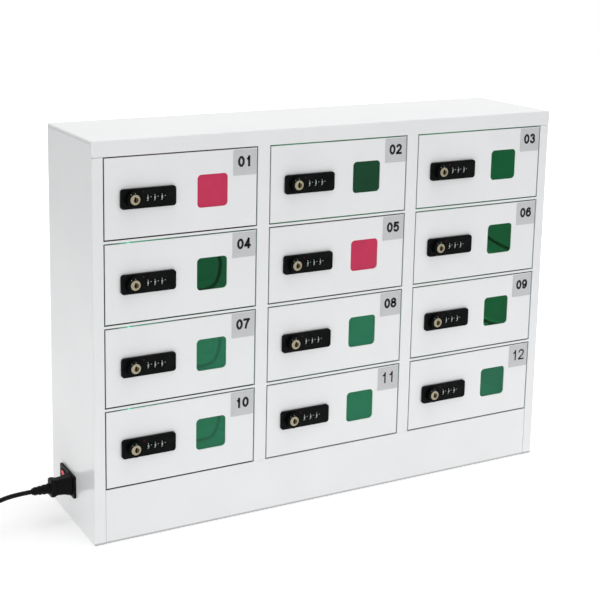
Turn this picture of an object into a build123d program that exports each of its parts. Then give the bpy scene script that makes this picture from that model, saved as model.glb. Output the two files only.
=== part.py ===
from build123d import *
from math import cos, pi, radians, sin, sqrt, tan
import os

# A twelve-door locker that keeps and charges mobile phones: a white sheet-steel cabinet with
# three columns of four compartments over a plinth that holds the electrics. Millimetres,
# +X to the right, +Y to the back, +Z up. The origin is on the floor, under the middle of the
# cabinet's footprint. Row 0 is the top row, column 0 the left column.

# ---------------------------------------------------------------- driving dimensions: cabinet
columns = 3
rows = 4
opening_width = 209.0        # door opening between the frame's edges
opening_height = 103.5
mullion_width = 17.0         # upright frame strip between two columns
stile_width = 14.5           # upright frame strip at either end
rail_height = 3.0            # level frame strip between two rows
plinth_height = 72.0
top_rail_height = 20.0
cabinet_depth = 160.0
sheet = 1.2                  # steel sheet of the cabinet and the doors
fold_radius = 1.1            # outer radius of a folded edge
frame_return = 12.0          # how far the frame strips fold back at the openings
hem_depth = 8.0              # folded front edge of each shelf
duct_depth = 18.8            # wiring space between the compartments and the back wall
toe_gap = 2.3                # daylight under the plinth's front
base_upstand = 16.0
plinth_edge_radius = 0.8
rail_corner_radius = 3.0
lid_hem = 3.5                # lid's folded edge down each side wall
seam = 0.4                   # shadow line round the lid and beside the plinth's front

# ---------------------------------------------------------------- driving dimensions: doors
door_gap = 1.5
door_flange = 8.0            # depth of the door's folded edge
hinge_inset = 3.5            # hinge axis from the door's right edge
hinge_setback = 3.5          # hinge axis behind the door's face
hinge_pin_radius = 1.5
hinge_pin_reach = 1.35       # how far a pin enters the shelf
hinge_head_radius = 2.1
hinge_head_height = 1.5
running_clearance = 0.05     # radial, pins and spindles in their holes

window_size = 42.0
window_corner_radius = 5.5
window_centre = 144.0        # from the door's left edge
pane_lap = 4.0               # pane past the window's edge, all round
pane_thickness = 2.0

# ---------------------------------------------------------------- driving dimensions: lock
lock_offset = 20.0           # face plate's left end from the door's left edge
lock_drop = 1.2              # lock's middle below the door's middle
plate_length = 73.0
plate_height = 25.0
plate_thickness = 4.0
plate_corner_radius = 4.0
plate_edge_radius = 0.8
body_end_step = 6.0          # face plate past the lock body, at either end
body_height = 19.0
body_depth = 11.7            # lock body behind the door's face
body_clearance = 0.3
dial_radius = 7.0
dial_thickness = 4.6
dial_sides = 10
dial_proud = 0.8             # dials past the face plate
dial_first = 34.8            # first dial from the face plate's left end
dial_pitch = 9.4
dial_count = 3
dial_side_clearance = 0.3
dial_rim_clearance = 0.5
axle_radius = 1.0
axle_overhang = 4.0
clamp_thickness = 1.5
screw_inset = 3.0
screw_radius = 1.2
screw_head_radius = 2.4
screw_head_height = 1.5
screw_bite = 2.5             # screw into the face plate

knob_offset = 16.0           # knob's axis from the face plate's left end
knob_radius = 10.0
knob_clearance = 0.3         # knob off the face plate
knob_length = 5.9
knob_edge_radius = 0.6
key_plug_radius = 6.3
key_plug_length = 3.0
key_plug_proud = 0.3
keyway_width = 2.0
keyway_height = 7.0
keyway_depth = 2.0
spindle_radius = 4.5
shank_size = 6.0             # square shank under the cam
shank_clearance = 0.1
cam_gap = 0.5                # cam behind the frame's return
cam_thickness = 2.0
cam_width = 11.0
cam_catch = 5.0              # cam behind the frame when it is locked
cam_screw_head_radius = 4.5
cam_screw_head_height = 2.0
cam_screw_radius = 1.5
cam_screw_length = 7.0

# ---------------------------------------------------------------- driving dimensions: electrics
led_bar_length = 70.0
led_bar_width = 6.0
led_bar_height = 3.5
led_bar_inset = 16.0         # from the opening's left edge
led_bar_setback = 10.0       # from the cabinet's front
led_bar_edge_radius = 0.8

cable_diameter = 4.5         # charging cable
grommet_radius = 8.0
grommet_thickness = 2.0
grommet_neck_radius = 5.0
cable_hole_inset = 172.0     # from the opening's left edge
cable_hole_height = 72.0     # above the compartment's floor
usb_shell = (22.0, 10.0, 6.0)    # moulded grip: length, width, height
usb_tip = (8.0, 8.0, 2.6)
usb_corner_radius = 1.8

inlet_setback = 95.0         # middle of the inlet from the cabinet's front
inlet_height = 50.5          # middle of the inlet above the floor
inlet_plate = (54.0, 30.0)   # along the cabinet's depth, up
inlet_plate_thickness = 3.0
inlet_corner_radius = 2.0
inlet_body = (46.0, 26.6)
inlet_body_depth = 25.0
inlet_clearance = 0.2
socket_offset = 11.0         # socket's middle in front of the inlet's middle
socket_size = (16.4, 24.4)   # along the depth, up
socket_depth = 17.0
socket_corner_radius = 2.5
contact_size = (2.0, 4.0)
contact_length = 14.0
contact_spread = 7.0         # line and neutral from the middle
contact_earth_step = 4.0
rocker_offset = 13.0         # rocker's middle behind the inlet's middle
rocker_width = 12.4
rocker_half_height = 9.3
rocker_tilt = 6.0            # either side of level, degrees
rocker_proud = 1.0           # middle of a level rocker past the face plate
rocker_end_rise = 1.0        # ends of a level rocker past its middle
rocker_pivot_depth = 4.0     # pivot behind the face plate's front
rocker_side_clearance = 0.3
rocker_end_clearance = 0.9
rocker_well_depth = 15.0
rocker_skirt_depth = 2.5
rocker_keel = (4.0, 9.0)     # half height and depth of its rounded back
trunnion_radius = 1.0
trunnion_reach = 1.2

supply_size = (140.0, 66.0, 38.0)
supply_inset = (77.0, 52.0)  # left front corner from the cabinet's left and front
supply_edge_radius = 4.0

# ---------------------------------------------------------------- driving dimensions: mains lead
lead_diameter = 6.0
lead_lift = 0.8              # lead's underside off the floor, the thickness of its tie
lead_turns = 7.5
lead_inner_radius = 22.2
lead_pitch = 6.6             # from turn to turn, and from layer to layer
connector_nose = (15.8, 23.8)    # along the depth, up
connector_nose_length = 16.5
connector_gap = 0.3
connector_body_length = 27.0
connector_corner_radius = 4.0
connector_sections = (           # along the body from its back, depth, height
    (0.0, 16.0, 22.4), (1.5, 17.6, 23.6), (4.5, 17.6, 23.6), (9.0, 15.2, 21.2),
    (18.0, 15.8, 22.6), (connector_body_length, 19.6, 27.0))
relief_length = 23.7
relief_drop = 1.0            # lead's exit below the inlet's middle
relief_root_radius = 6.4
relief_end_radius = 4.4
relief_ribs = 4
relief_rib_height = 0.7
relief_rib_share = 0.55      # share of the pitch that a rib fills
tail_length = 14.0           # from the coil to the plug
mains_plug_size = (30.0, 27.0, 20.8)     # length, width, height
mains_plug_corner_radius = 5.0
mains_blade = (16.0, 1.5, 6.3)
mains_blade_spread = 6.35
mains_pin_radius = 2.4
mains_pin_length = 18.0
mains_pin_step = 7.0
tie_width = 9.0
tie_thickness = 0.6
tie_clearance = 0.6

# ---------------------------------------------------------------- what follows from them
opening_pitch_x = opening_width + mullion_width
opening_pitch_z = opening_height + rail_height
cabinet_width = 2 * stile_width + columns * opening_width + (columns - 1) * mullion_width
frame_bottom = plinth_height
frame_top = plinth_height + rows * opening_height + (rows - 1) * rail_height
cabinet_height = frame_top + top_rail_height
left, right = -cabinet_width / 2, cabinet_width / 2
front, back = -cabinet_depth / 2, cabinet_depth / 2
liner_front = back - sheet - duct_depth      # face of the inner back wall
door_width = opening_width - 2 * door_gap
door_height = opening_height - 2 * door_gap
mid_height = opening_height / 2
lock_height = mid_height - lock_drop
ceiling_drop = rail_height - sheet           # underside of a shelf above the opening's top

wide = 1000.0                                # longer than anything a cutter passes through


# ---------------------------------------------------------------- helpers
def block(x, y, z):
    """A box from three (low, high) pairs."""
    size = (x[1] - x[0], y[1] - y[0], z[1] - z[0])
    return Pos((x[0] + x[1]) / 2, (y[0] + y[1]) / 2, (z[0] + z[1]) / 2) * Box(*size)


def rod_x(radius, x, y, z):
    """A cylinder along X from x[0] to x[1]."""
    return Pos((x[0] + x[1]) / 2, y, z) * Rot(0, 90, 0) * Cylinder(radius, x[1] - x[0])


def rod_y(radius, x, y, z):
    """A cylinder along Y from y[0] to y[1]."""
    return Pos(x, (y[0] + y[1]) / 2, z) * Rot(90, 0, 0) * Cylinder(radius, y[1] - y[0])


def rod_z(radius, x, y, z):
    """A cylinder along Z from z[0] to z[1]."""
    return Pos(x, y, (z[0] + z[1]) / 2) * Cylinder(radius, z[1] - z[0])


def rounded_block(x, y, z, radius, axis):
    """A box whose four edges along one axis are rounded."""
    solid = block(x, y, z)
    return fillet(solid.edges().filter_by(axis), radius)


def outline_prism(points, z):
    """A flat outline in X and Y, raised between two heights."""
    face = make_face(Polyline(*points, close=True))
    return Pos(0, 0, z[0]) * extrude(face, z[1] - z[0])


def opening_left(column):
    return left + stile_width + column * opening_pitch_x


def opening_bottom(row):
    return plinth_height + (rows - 1 - row) * opening_pitch_z


def at_opening(column, row):
    """Moves a solid from an opening's own frame: its left, front and bottom edges are zero."""
    return Pos(opening_left(column), front, opening_bottom(row))


def write(name, solids):
    export_step(Compound(children=list(solids)), f"parts/{name}.step")


# ---------------------------------------------------------------- cabinet
def cabinet_wrap():
    """Left wall, back and right wall folded from one sheet, with the folded front stiles."""
    wall_top = cabinet_height - sheet
    shell = block((left, right), (front, back), (0, wall_top))
    shell -= block((left + sheet, right - sheet), (front - sheet, back - sheet), (-sheet, wide))
    stile_top = frame_top - seam
    shell -= block((left - sheet, right + sheet), (front - sheet, front + sheet), (stile_top, wide))
    for side in (-1, 1):
        outer = side * cabinet_width / 2
        inner = side * (cabinet_width / 2 - stile_width)
        strip = sorted((outer, inner))
        fold = sorted((inner, inner + side * sheet))
        shell += block(strip, (front, front + sheet), (0, stile_top))
        shell += block(fold, (front, front + frame_return), (0, stile_top))
    corners = [e for e in shell.edges().filter_by(Axis.Z)
               if abs(abs(e.center().X) - cabinet_width / 2) < 0.01]
    shell = fillet(corners, fold_radius)
    for outer in (left, right):
        shell -= block((outer - sheet, outer + sheet), (front - sheet, back - sheet),
                       (cabinet_height - lid_hem - seam, wide))
    wall = (left - sheet, left + 2 * sheet)
    middle = front + inlet_setback
    hole_y = inlet_body[0] / 2 + inlet_clearance
    hole_z = inlet_body[1] / 2 + inlet_clearance
    return shell - block(wall, (middle - hole_y, middle + hole_y),
                         (inlet_height - hole_z, inlet_height + hole_z))


def top_panel():
    """The lid sheet with its deep folded front rail and its folded side edges."""
    lid = block((left, right), (front, back), (cabinet_height - sheet, cabinet_height))
    lid += block((left, right), (front, front + sheet), (frame_top, cabinet_height))
    for side in (-1, 1):
        hem = sorted((side * cabinet_width / 2, side * (cabinet_width / 2 - sheet)))
        lid += block(hem, (front, back - sheet), (cabinet_height - lid_hem, cabinet_height))
    folds = [e for e in lid.edges() if abs(e.center().Z - cabinet_height) < 0.01
             and (abs(e.center().Y - front) < 0.01 or abs(abs(e.center().X) - right) < 0.01)]
    lid = fillet(folds, fold_radius)
    ends = [e for e in lid.edges().filter_by(Axis.Y)
            if abs(e.center().Z - frame_top) < 0.01]
    return fillet(ends, rail_corner_radius)


def plinth_panel():
    """The plain front between the stiles, under the doors."""
    reach = cabinet_width / 2 - stile_width - seam
    panel = block((-reach, reach), (front, front + sheet), (toe_gap, plinth_height))
    return fillet(panel.faces().sort_by(Axis.Y)[0].edges(), plinth_edge_radius)


def base_plate():
    """The floor of the electrics bay, notched round the stiles' folds."""
    inner = cabinet_width / 2 - sheet
    reach = cabinet_width / 2 - stile_width
    notch = front + frame_return
    near, far = front + sheet, back - sheet
    points = [(-reach, near), (reach, near), (reach, notch), (inner, notch),
              (inner, far), (-inner, far), (-inner, notch), (-reach, notch)]
    plate = outline_prism(points, (0, sheet))
    plate += block((-reach, reach), (near, near + sheet), (sheet, base_upstand))
    plate += block((-inner, inner), (far - sheet, far), (sheet, base_upstand))
    return plate


def column_walls(column):
    """The faces of the walls left and right of a column of compartments."""
    near = left + sheet if column == 0 else opening_left(column) - mullion_width / 2 + sheet / 2
    far_opening = opening_left(column) + opening_width
    far = right - sheet if column == columns - 1 else far_opening + mullion_width / 2 - sheet / 2
    return near, far


def divider(column):
    """The wall between a column and the next, with its folded front strip."""
    centre = opening_left(column) + opening_width + mullion_width / 2
    half = mullion_width / 2
    web = block((centre - sheet / 2, centre + sheet / 2), (front + sheet, liner_front),
                (frame_bottom - rail_height, frame_top + rail_height))
    strip = block((centre - half, centre + half), (front, front + sheet), (frame_bottom, frame_top))
    solid = web + strip
    for side in (-1, 1):
        edge = sorted((centre + side * half, centre + side * (half - sheet)))
        solid += block(edge, (front, front + frame_return), (frame_bottom, frame_top))
    return solid


def hinge_x(column):
    return opening_left(column) + opening_width - door_gap - hinge_inset


def shelf(column, level):
    """One shelf. Level 0 is the top row's ceiling, and the last level is the lowest floor."""
    zone_top = frame_top + rail_height - level * opening_pitch_z
    zone_bottom = zone_top - rail_height
    outer_level = level in (0, rows)
    edge = front + sheet if outer_level else front
    near, far = column_walls(column)
    door_left = opening_left(column)
    door_right = door_left + opening_width
    notch = front + frame_return
    points = [(door_left, edge), (door_right, edge), (door_right, notch), (far, notch),
              (far, liner_front), (near, liner_front), (near, notch), (door_left, notch)]
    solid = outline_prism(points, (zone_top - sheet, zone_top))
    solid += block((door_left, door_right), (edge, front + hem_depth), (zone_bottom, zone_top))
    return solid - rod_z(hinge_pin_radius + running_clearance, hinge_x(column),
                         front + hinge_setback, (zone_bottom - 1, zone_top + 1))


def liner():
    """The inner back wall, with a hole for each charging cable."""
    inner = cabinet_width / 2 - sheet
    wall = block((-inner, inner), (liner_front, liner_front + sheet),
                 (frame_bottom - rail_height, frame_top + rail_height))
    for column in range(columns):
        for row in range(rows):
            wall -= rod_y(grommet_neck_radius, opening_left(column) + cable_hole_inset,
                          (liner_front - 1, liner_front + sheet + 1),
                          opening_bottom(row) + cable_hole_height)
    return wall


# ---------------------------------------------------------------- door, in its opening's frame
def lock_plate_left():
    return door_gap + lock_offset


def hinge_pins():
    """The two riveted pins that the door turns on."""
    x = opening_width - door_gap - hinge_inset
    pins = []
    for low, outwards in ((door_gap, -1), (opening_height - door_gap, 1)):
        inside = low - outwards * sheet
        head = sorted((inside, inside - outwards * hinge_head_height))
        shank = sorted((inside, low + outwards * (door_gap + hinge_pin_reach)))
        pins.append(rod_z(hinge_head_radius, x, hinge_setback, head)
                    + rod_z(hinge_pin_radius, x, hinge_setback, shank))
    return pins


def door_pan():
    """The door's folded pan, cut out for the window, the lock and the hinge pins."""
    x = (door_gap, opening_width - door_gap)
    z = (door_gap, opening_height - door_gap)
    pan = block(x, (0, door_flange), z)
    pan = fillet(pan.faces().sort_by(Axis.Y)[0].edges(), fold_radius)
    pan -= block((x[0] + sheet, x[1] - sheet), (sheet, door_flange + 1), (z[0] + sheet, z[1] - sheet))
    centre = door_gap + window_centre
    half = window_size / 2
    pan -= rounded_block((centre - half, centre + half), (-1, sheet + 1),
                         (mid_height - half, mid_height + half), window_corner_radius, Axis.Y)
    body_x, body_z = lock_body_outline(body_clearance)
    pan -= block(body_x, (-1, sheet + 1), body_z)
    for screw_x in lock_screw_places():
        pan -= rod_y(screw_radius + body_clearance, screw_x, (-1, sheet + 1), lock_height)
    pin_x = opening_width - door_gap - hinge_inset
    return pan - rod_z(hinge_pin_radius + running_clearance, pin_x, hinge_setback, (0, opening_height))


def window_pane():
    centre = door_gap + window_centre
    half = window_size / 2 + pane_lap
    return rounded_block((centre - half, centre + half), (sheet, sheet + pane_thickness),
                         (mid_height - half, mid_height + half), window_corner_radius, Axis.Y)


# ---------------------------------------------------------------- lock, in its opening's frame
def lock_body_outline(grow):
    x0 = lock_plate_left() + body_end_step
    x1 = lock_plate_left() + plate_length - body_end_step
    half = body_height / 2 + grow
    return (x0 - grow, x1 + grow), (lock_height - half, lock_height + half)


def lock_screw_places():
    return (lock_plate_left() + screw_inset, lock_plate_left() + plate_length - screw_inset)


def dial_places():
    return [lock_plate_left() + dial_first + i * dial_pitch for i in range(dial_count)]


def dial_axis_y():
    return dial_radius - plate_thickness - dial_proud


def lock_housing():
    """Face plate and body in one moulding, with a well for each dial and the spindle's bore."""
    x = (lock_plate_left(), lock_plate_left() + plate_length)
    z = (lock_height - plate_height / 2, lock_height + plate_height / 2)
    plate = rounded_block(x, (-plate_thickness, 0), z, plate_corner_radius, Axis.Y)
    plate = fillet(plate.faces().sort_by(Axis.Y)[0].edges(), plate_edge_radius)
    body_x, body_z = lock_body_outline(0)
    housing = plate + block(body_x, (0, body_depth), body_z)
    for dial_x in dial_places():
        half = dial_thickness / 2 + dial_side_clearance
        housing -= rod_x(dial_radius + dial_rim_clearance, (dial_x - half, dial_x + half),
                         dial_axis_y(), lock_height)
    housing -= rod_x(axle_radius + running_clearance, dial_axle_reach(), dial_axis_y(), lock_height)
    housing -= rod_y(spindle_radius + running_clearance, knob_x(), (-wide, wide), lock_height)
    for screw_x in lock_screw_places():
        housing -= rod_y(screw_radius + running_clearance, screw_x, (-screw_bite, 1), lock_height)
    return housing


def dial_axle_reach():
    half = dial_thickness / 2 + axle_overhang
    return dial_places()[0] - half, dial_places()[-1] + half


def dial_wheels():
    """Ten-sided number wheels, a flat to the front."""
    wheels = []
    for dial_x in dial_places():
        flat = RegularPolygon(dial_radius, dial_sides, rotation=180 / dial_sides)
        wheel = extrude(flat, dial_thickness / 2, both=True)
        wheel = Pos(dial_x, dial_axis_y(), lock_height) * Rot(0, 90, 0) * Rot(0, 0, 90) * wheel
        wheels.append(wheel - rod_x(axle_radius + running_clearance,
                                    (dial_x - dial_thickness, dial_x + dial_thickness),
                                    dial_axis_y(), lock_height))
    return wheels


def lock_clamp():
    """The steel frame behind the door's sheet that the lock is screwed back to."""
    x = (lock_plate_left(), lock_plate_left() + plate_length)
    z = (lock_height - plate_height / 2, lock_height + plate_height / 2)
    y = (sheet, sheet + clamp_thickness)
    body_x, body_z = lock_body_outline(body_clearance)
    clamp = block(x, y, z) - block(body_x, (-wide, wide), body_z)
    for screw_x in lock_screw_places():
        clamp -= rod_y(screw_radius + body_clearance, screw_x, (-wide, wide), lock_height)
    return clamp


def lock_screws():
    seat = sheet + clamp_thickness
    return [rod_y(screw_radius, x, (-screw_bite, seat), lock_height)
            + rod_y(screw_head_radius, x, (seat, seat + screw_head_height), lock_height)
            for x in lock_screw_places()]


def lock_solids():
    axle = rod_x(axle_radius, dial_axle_reach(), dial_axis_y(), lock_height)
    return [lock_housing(), *dial_wheels(), axle, lock_clamp(), *lock_screws()]


# ---------------------------------------------------------------- knob and cam, same frame
def knob_x():
    return lock_plate_left() + knob_offset


def knob_back():
    return -plate_thickness - knob_clearance


def cam_front():
    return frame_return + cam_gap


def knob_and_spindle():
    """The knob that a finger turns, its spindle through the lock and its square shank."""
    knob = rod_y(knob_radius, knob_x(), (knob_back() - knob_length, knob_back()), lock_height)
    knob = fillet(knob.faces().sort_by(Axis.Y)[0].edges(), knob_edge_radius)
    recess = key_plug_length - key_plug_proud
    face = knob_back() - knob_length
    knob -= rod_y(key_plug_radius + running_clearance, knob_x(), (face - 1, face + recess), lock_height)
    knob += rod_y(spindle_radius, knob_x(), (knob_back(), cam_front()), lock_height)
    half = shank_size / 2
    shank = block((knob_x() - half, knob_x() + half), (cam_front(), cam_front() + cam_thickness),
                  (lock_height - half, lock_height + half))
    seat = cam_front() + cam_thickness
    knob += shank
    return knob - rod_y(cam_screw_radius + running_clearance, knob_x(),
                        (seat - cam_screw_length, seat + 1), lock_height)


def key_plug():
    """The key cylinder's face, with its keyway."""
    face = knob_back() - knob_length
    plug = rod_y(key_plug_radius, knob_x(),
                 (face - key_plug_proud, face - key_plug_proud + key_plug_length), lock_height)
    slot_y = (face - key_plug_proud - 1, face - key_plug_proud + keyway_depth)
    return plug - block((knob_x() - keyway_width / 2, knob_x() + keyway_width / 2), slot_y,
                        (lock_height - keyway_height / 2, lock_height + keyway_height / 2))


def cam():
    """The flat bar that hangs down at rest and turns left behind the frame to lock."""
    reach = knob_x() + cam_catch
    tip = lock_height - reach + cam_width / 2
    y = (cam_front(), cam_front() + cam_thickness)
    bar = block((knob_x() - cam_width / 2, knob_x() + cam_width / 2), y, (tip, lock_height))
    bar += rod_y(cam_width / 2, knob_x(), y, tip)
    bar += rod_y(cam_width / 2, knob_x(), y, lock_height)
    half = shank_size / 2 + shank_clearance
    return bar - block((knob_x() - half, knob_x() + half), (y[0] - 1, y[1] + 1),
                       (lock_height - half, lock_height + half))


def cam_screw():
    seat = cam_front() + cam_thickness
    return (rod_y(cam_screw_radius, knob_x(), (seat - cam_screw_length, seat), lock_height)
            + rod_y(cam_screw_head_radius, knob_x(), (seat, seat + cam_screw_head_height), lock_height))


# ---------------------------------------------------------------- electrics
def led_bar():
    """The light bar under a compartment's ceiling, in its opening's frame."""
    top = opening_height + ceiling_drop
    return rounded_block((led_bar_inset, led_bar_inset + led_bar_length),
                         (led_bar_setback, led_bar_setback + led_bar_width),
                         (top - led_bar_height, top), led_bar_edge_radius, Axis.Z)


def corner_radii(points, name, least):
    """The arc at each corner of a route: as large as the two runs beside it allow."""
    radii = []
    for before, here, after in zip(points, points[1:], points[2:]):
        a, b = Vector(*here) - Vector(*before), Vector(*after) - Vector(*here)
        half_turn = radians(a.get_angle(b)) / 2
        radii.append(0.45 * min(a.length, b.length) / tan(half_turn))
    print(f"{name}: radii {[round(r, 1) for r in radii]}, least allowed {least}")
    return radii


def tube(points, diameter, name, least_diameters):
    """A round cord along straight runs joined by tangent arcs."""
    path = FilletPolyline(*points, radius=corner_radii(points, name, least_diameters * diameter))
    start = Plane(origin=points[0], z_dir=Vector(*points[1]) - Vector(*points[0]))
    solid = sweep(start * Circle(diameter / 2), path=path)
    print(f"{name}: length {path.length:.1f}, volume over section times length "
          f"{solid.volume / (pi * diameter ** 2 / 4 * path.length):.5f}")
    return solid


cable_start = cabinet_depth - sheet - duct_depth - grommet_thickness
cable_floor = cable_diameter / 2 + 0.1

# Routes in an opening's frame: from the grommet forward, down, and along the floor.
draped_route = [(cable_hole_inset, cable_start, cable_hole_height), (172, 124, 72), (180, 109, 68),
                (191, 97, 57), (198, 90, 42), (196, 88, 25), (186, 90, 11), (171, 97, 4),
                (154, 105, cable_floor), (136, 110, cable_floor), (118, 111, cable_floor),
                (101, 108, cable_floor)]
swag_route = [(cable_hole_inset, cable_start, cable_hole_height), (172, 123, 72), (173, 106, 66),
              (176, 89, 55), (184, 74, 42), (196, 62, 31), (208, 50, 22), (211, 37, 13),
              (204, 27, 6), (190, 22, cable_floor), (173, 21, cable_floor), (157, 25, cable_floor)]
low_route = [(cable_hole_inset, cable_start, cable_hole_height), (172, 124, 71), (171, 112, 60),
             (170, 103, 45), (171, 93, 30), (176, 80, 17), (185, 67, 10), (195, 56, 8),
             (205, 47, 9.5), (211.5, 38, 10), (212.5, 28, 8.5), (207.5, 19, 5.5), (198, 14, 3),
             (185, 12.5, cable_floor), (170, 14, cable_floor)]
tucked_route = [(cable_hole_inset, cable_start, cable_hole_height), (172, 124.5, 71.5),
                (167, 115, 63), (161, 112, 48), (154, 113, 31), (144, 115, 15), (130, 117, 5),
                (112, 117, cable_floor), (94, 113, cable_floor), (79, 103, cable_floor),
                (70, 89, cable_floor)]
charging_routes = {
    "draped": draped_route,
    "swag": swag_route,
    "low": low_route,
    "tucked": tucked_route,
}
route_of_door = {4: "draped", 6: "swag", 7: "draped", 9: "low", 10: "draped"}


def usb_connector(points):
    """The moulded grip and metal tip at a charging cable's free end, flat on the floor."""
    end, before = Vector(*points[-1]), Vector(*points[-2])
    ahead = (end - before).normalized()
    length, width, height = usb_shell
    end.Z = height / 2 + 0.1
    grip = Box(length, width, height, align=(Align.MIN, Align.CENTER, Align.CENTER))
    grip = fillet(grip.edges().filter_by(Axis.X), usb_corner_radius)
    tip = Pos(length, 0, 0) * Box(*usb_tip, align=(Align.MIN, Align.CENTER, Align.CENTER))
    flat_side = Vector(-ahead.Y, ahead.X, 0)
    return Plane(origin=end, x_dir=ahead, z_dir=ahead.cross(flat_side)) * (grip + tip)


def grommet():
    hole = rod_y(grommet_radius, cable_hole_inset,
                 (cable_start, cable_start + grommet_thickness), cable_hole_height)
    neck = rod_y(grommet_neck_radius, cable_hole_inset,
                 (cable_start + grommet_thickness, cable_start + grommet_thickness + sheet),
                 cable_hole_height)
    return hole + neck


def power_inlet():
    """The switched inlet in the left wall: face plate, body, socket well, rocker well, contacts."""
    centre_y = front + inlet_setback
    outer = left - inlet_plate_thickness
    half_y, half_z = inlet_plate[0] / 2, inlet_plate[1] / 2
    inlet = rounded_block((outer, left), (centre_y - half_y, centre_y + half_y),
                          (inlet_height - half_z, inlet_height + half_z), inlet_corner_radius, Axis.X)
    half_y, half_z = inlet_body[0] / 2, inlet_body[1] / 2
    inlet += block((left, left + inlet_body_depth), (centre_y - half_y, centre_y + half_y),
                   (inlet_height - half_z, inlet_height + half_z))
    socket_y = centre_y - socket_offset
    half_y, half_z = socket_size[0] / 2, socket_size[1] / 2
    inlet -= rounded_block((outer - 1, outer + socket_depth), (socket_y - half_y, socket_y + half_y),
                           (inlet_height - half_z, inlet_height + half_z), socket_corner_radius, Axis.X)
    rocker_y = centre_y + rocker_offset
    half_y = rocker_width / 2 + rocker_side_clearance
    half_z = rocker_half_height + rocker_end_clearance
    inlet -= block((outer - 1, outer + rocker_well_depth), (rocker_y - half_y, rocker_y + half_y),
                   (inlet_height - half_z, inlet_height + half_z))
    reach = rocker_width / 2 + trunnion_reach + running_clearance
    inlet -= rod_y(trunnion_radius + running_clearance, outer + rocker_pivot_depth,
                   (rocker_y - reach, rocker_y + reach), inlet_height)
    return [inlet, *inlet_contacts(outer, socket_y)]


def contact_places(outer, socket_y):
    """Line, neutral and earth, as (y, z) of each contact's middle."""
    return [(socket_y, inlet_height - contact_spread), (socket_y, inlet_height + contact_spread),
            (socket_y - contact_earth_step, inlet_height)]


def inlet_contacts(outer, socket_y):
    floor = outer + socket_depth
    blades = []
    for y, z in contact_places(outer, socket_y):
        blades.append(block((floor - contact_length, floor), (y - contact_size[1] / 2, y + contact_size[1] / 2),
                            (z - contact_size[0] / 2, z + contact_size[0] / 2)))
    return blades


def inlet_rocker():
    """The rocker, pressed in at its top (on) at rest; it tilts about an axis along Y."""
    top, low = rocker_half_height, -rocker_half_height
    proud = -rocker_proud
    keel_half, keel_depth = rocker_keel
    pivot = rocker_pivot_depth
    profile = [(proud - rocker_end_rise, top), (proud, 0), (proud - rocker_end_rise, low),
               (rocker_skirt_depth, low), (keel_depth, -keel_half), (keel_depth, keel_half),
               (rocker_skirt_depth, top)]
    shape = make_face(Polyline(*[(x - pivot, z) for x, z in profile], close=True))
    rocker = extrude(shape, rocker_width / 2, both=True)
    rocker += Cylinder(trunnion_radius, rocker_width + 2 * trunnion_reach)
    upright = Rot(90, 0, 0) * rocker
    place = Pos(left - inlet_plate_thickness + pivot, front + inlet_setback + rocker_offset, inlet_height)
    return place * Rot(0, rocker_tilt, 0) * upright


def power_supply():
    x, y = left + supply_inset[0], front + supply_inset[1]
    length, width, height = supply_size
    brick = block((x, x + length), (y, y + width), (sheet, sheet + height))
    return fillet(brick.edges().filter_by(Axis.Z), supply_edge_radius)


# ---------------------------------------------------------------- mains lead
connector_back = left - inlet_plate_thickness - connector_gap
relief_start = connector_back - connector_body_length
lead_exit = relief_start - relief_length
lead_y = front + inlet_setback - socket_offset
lead_floor = lead_diameter / 2 + lead_lift

coil_radius = lead_inner_radius + lead_pitch * lead_turns / 2
coil_centre = (-530.0, lead_y + coil_radius)
coil_top = lead_floor + lead_pitch
coil_lead_in = lead_diameter                 # straight ends of the coil

# Out of the strain relief, sagging, down to the floor and along it to the coil.
lead_route = [(lead_exit, lead_y, inlet_height - relief_drop), (-417, lead_y, inlet_height - relief_drop),
              (-437, lead_y, 47.4), (-456, lead_y, 41.2), (-474, lead_y, 29.8), (-488, lead_y, 17.4),
              (-499.5, lead_y, 8.0), (-511.5, lead_y, lead_floor),
              (coil_centre[0] + coil_lead_in, lead_y, lead_floor)]
tail_start = (coil_centre[0] + coil_lead_in, coil_centre[1] + coil_radius, coil_top)
tail_end = (tail_start[0] + tail_length, tail_start[1], coil_top)


def coil_point(turn):
    """The lead's middle after so many turns: spiral in, climb half a turn, spiral out."""
    from_middle = abs(turn - lead_turns / 2)
    radius = lead_inner_radius + lead_pitch * from_middle
    climb_from = lead_turns / 2 - 0.25
    climbed = min(max((turn - climb_from) / 0.5, 0.0), 1.0)
    angle = -pi / 2 - 2 * pi * turn
    return Vector(coil_centre[0] + radius * cos(angle), coil_centre[1] + radius * sin(angle),
                  lead_floor + lead_pitch * climbed)


def coil_heading(turn):
    """The direction of travel, as the mean of what lies just before and just after."""
    if turn == 0:
        return Vector(-1, 0, 0)
    if turn == lead_turns:
        return Vector(1, 0, 0)
    step = 0.01
    return (coil_point(turn + step) - coil_point(turn - step)).normalized()


def two_arcs(start, heading, end, end_heading):
    """Two tangent arcs between two points with given headings."""
    gap = end - start
    total = heading + end_heading
    spread = 2 * (1 - heading.dot(end_heading))
    along = gap.dot(total)
    reach = (sqrt(along ** 2 + spread * gap.dot(gap)) - along) / spread
    middle = ((start + heading * reach) + (end - end_heading * reach)) * 0.5
    first = Edge.make_tangent_arc(start, heading, middle)
    second = Edge.make_tangent_arc(middle, first.tangent_at(1), end)
    return [first, second]


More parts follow.
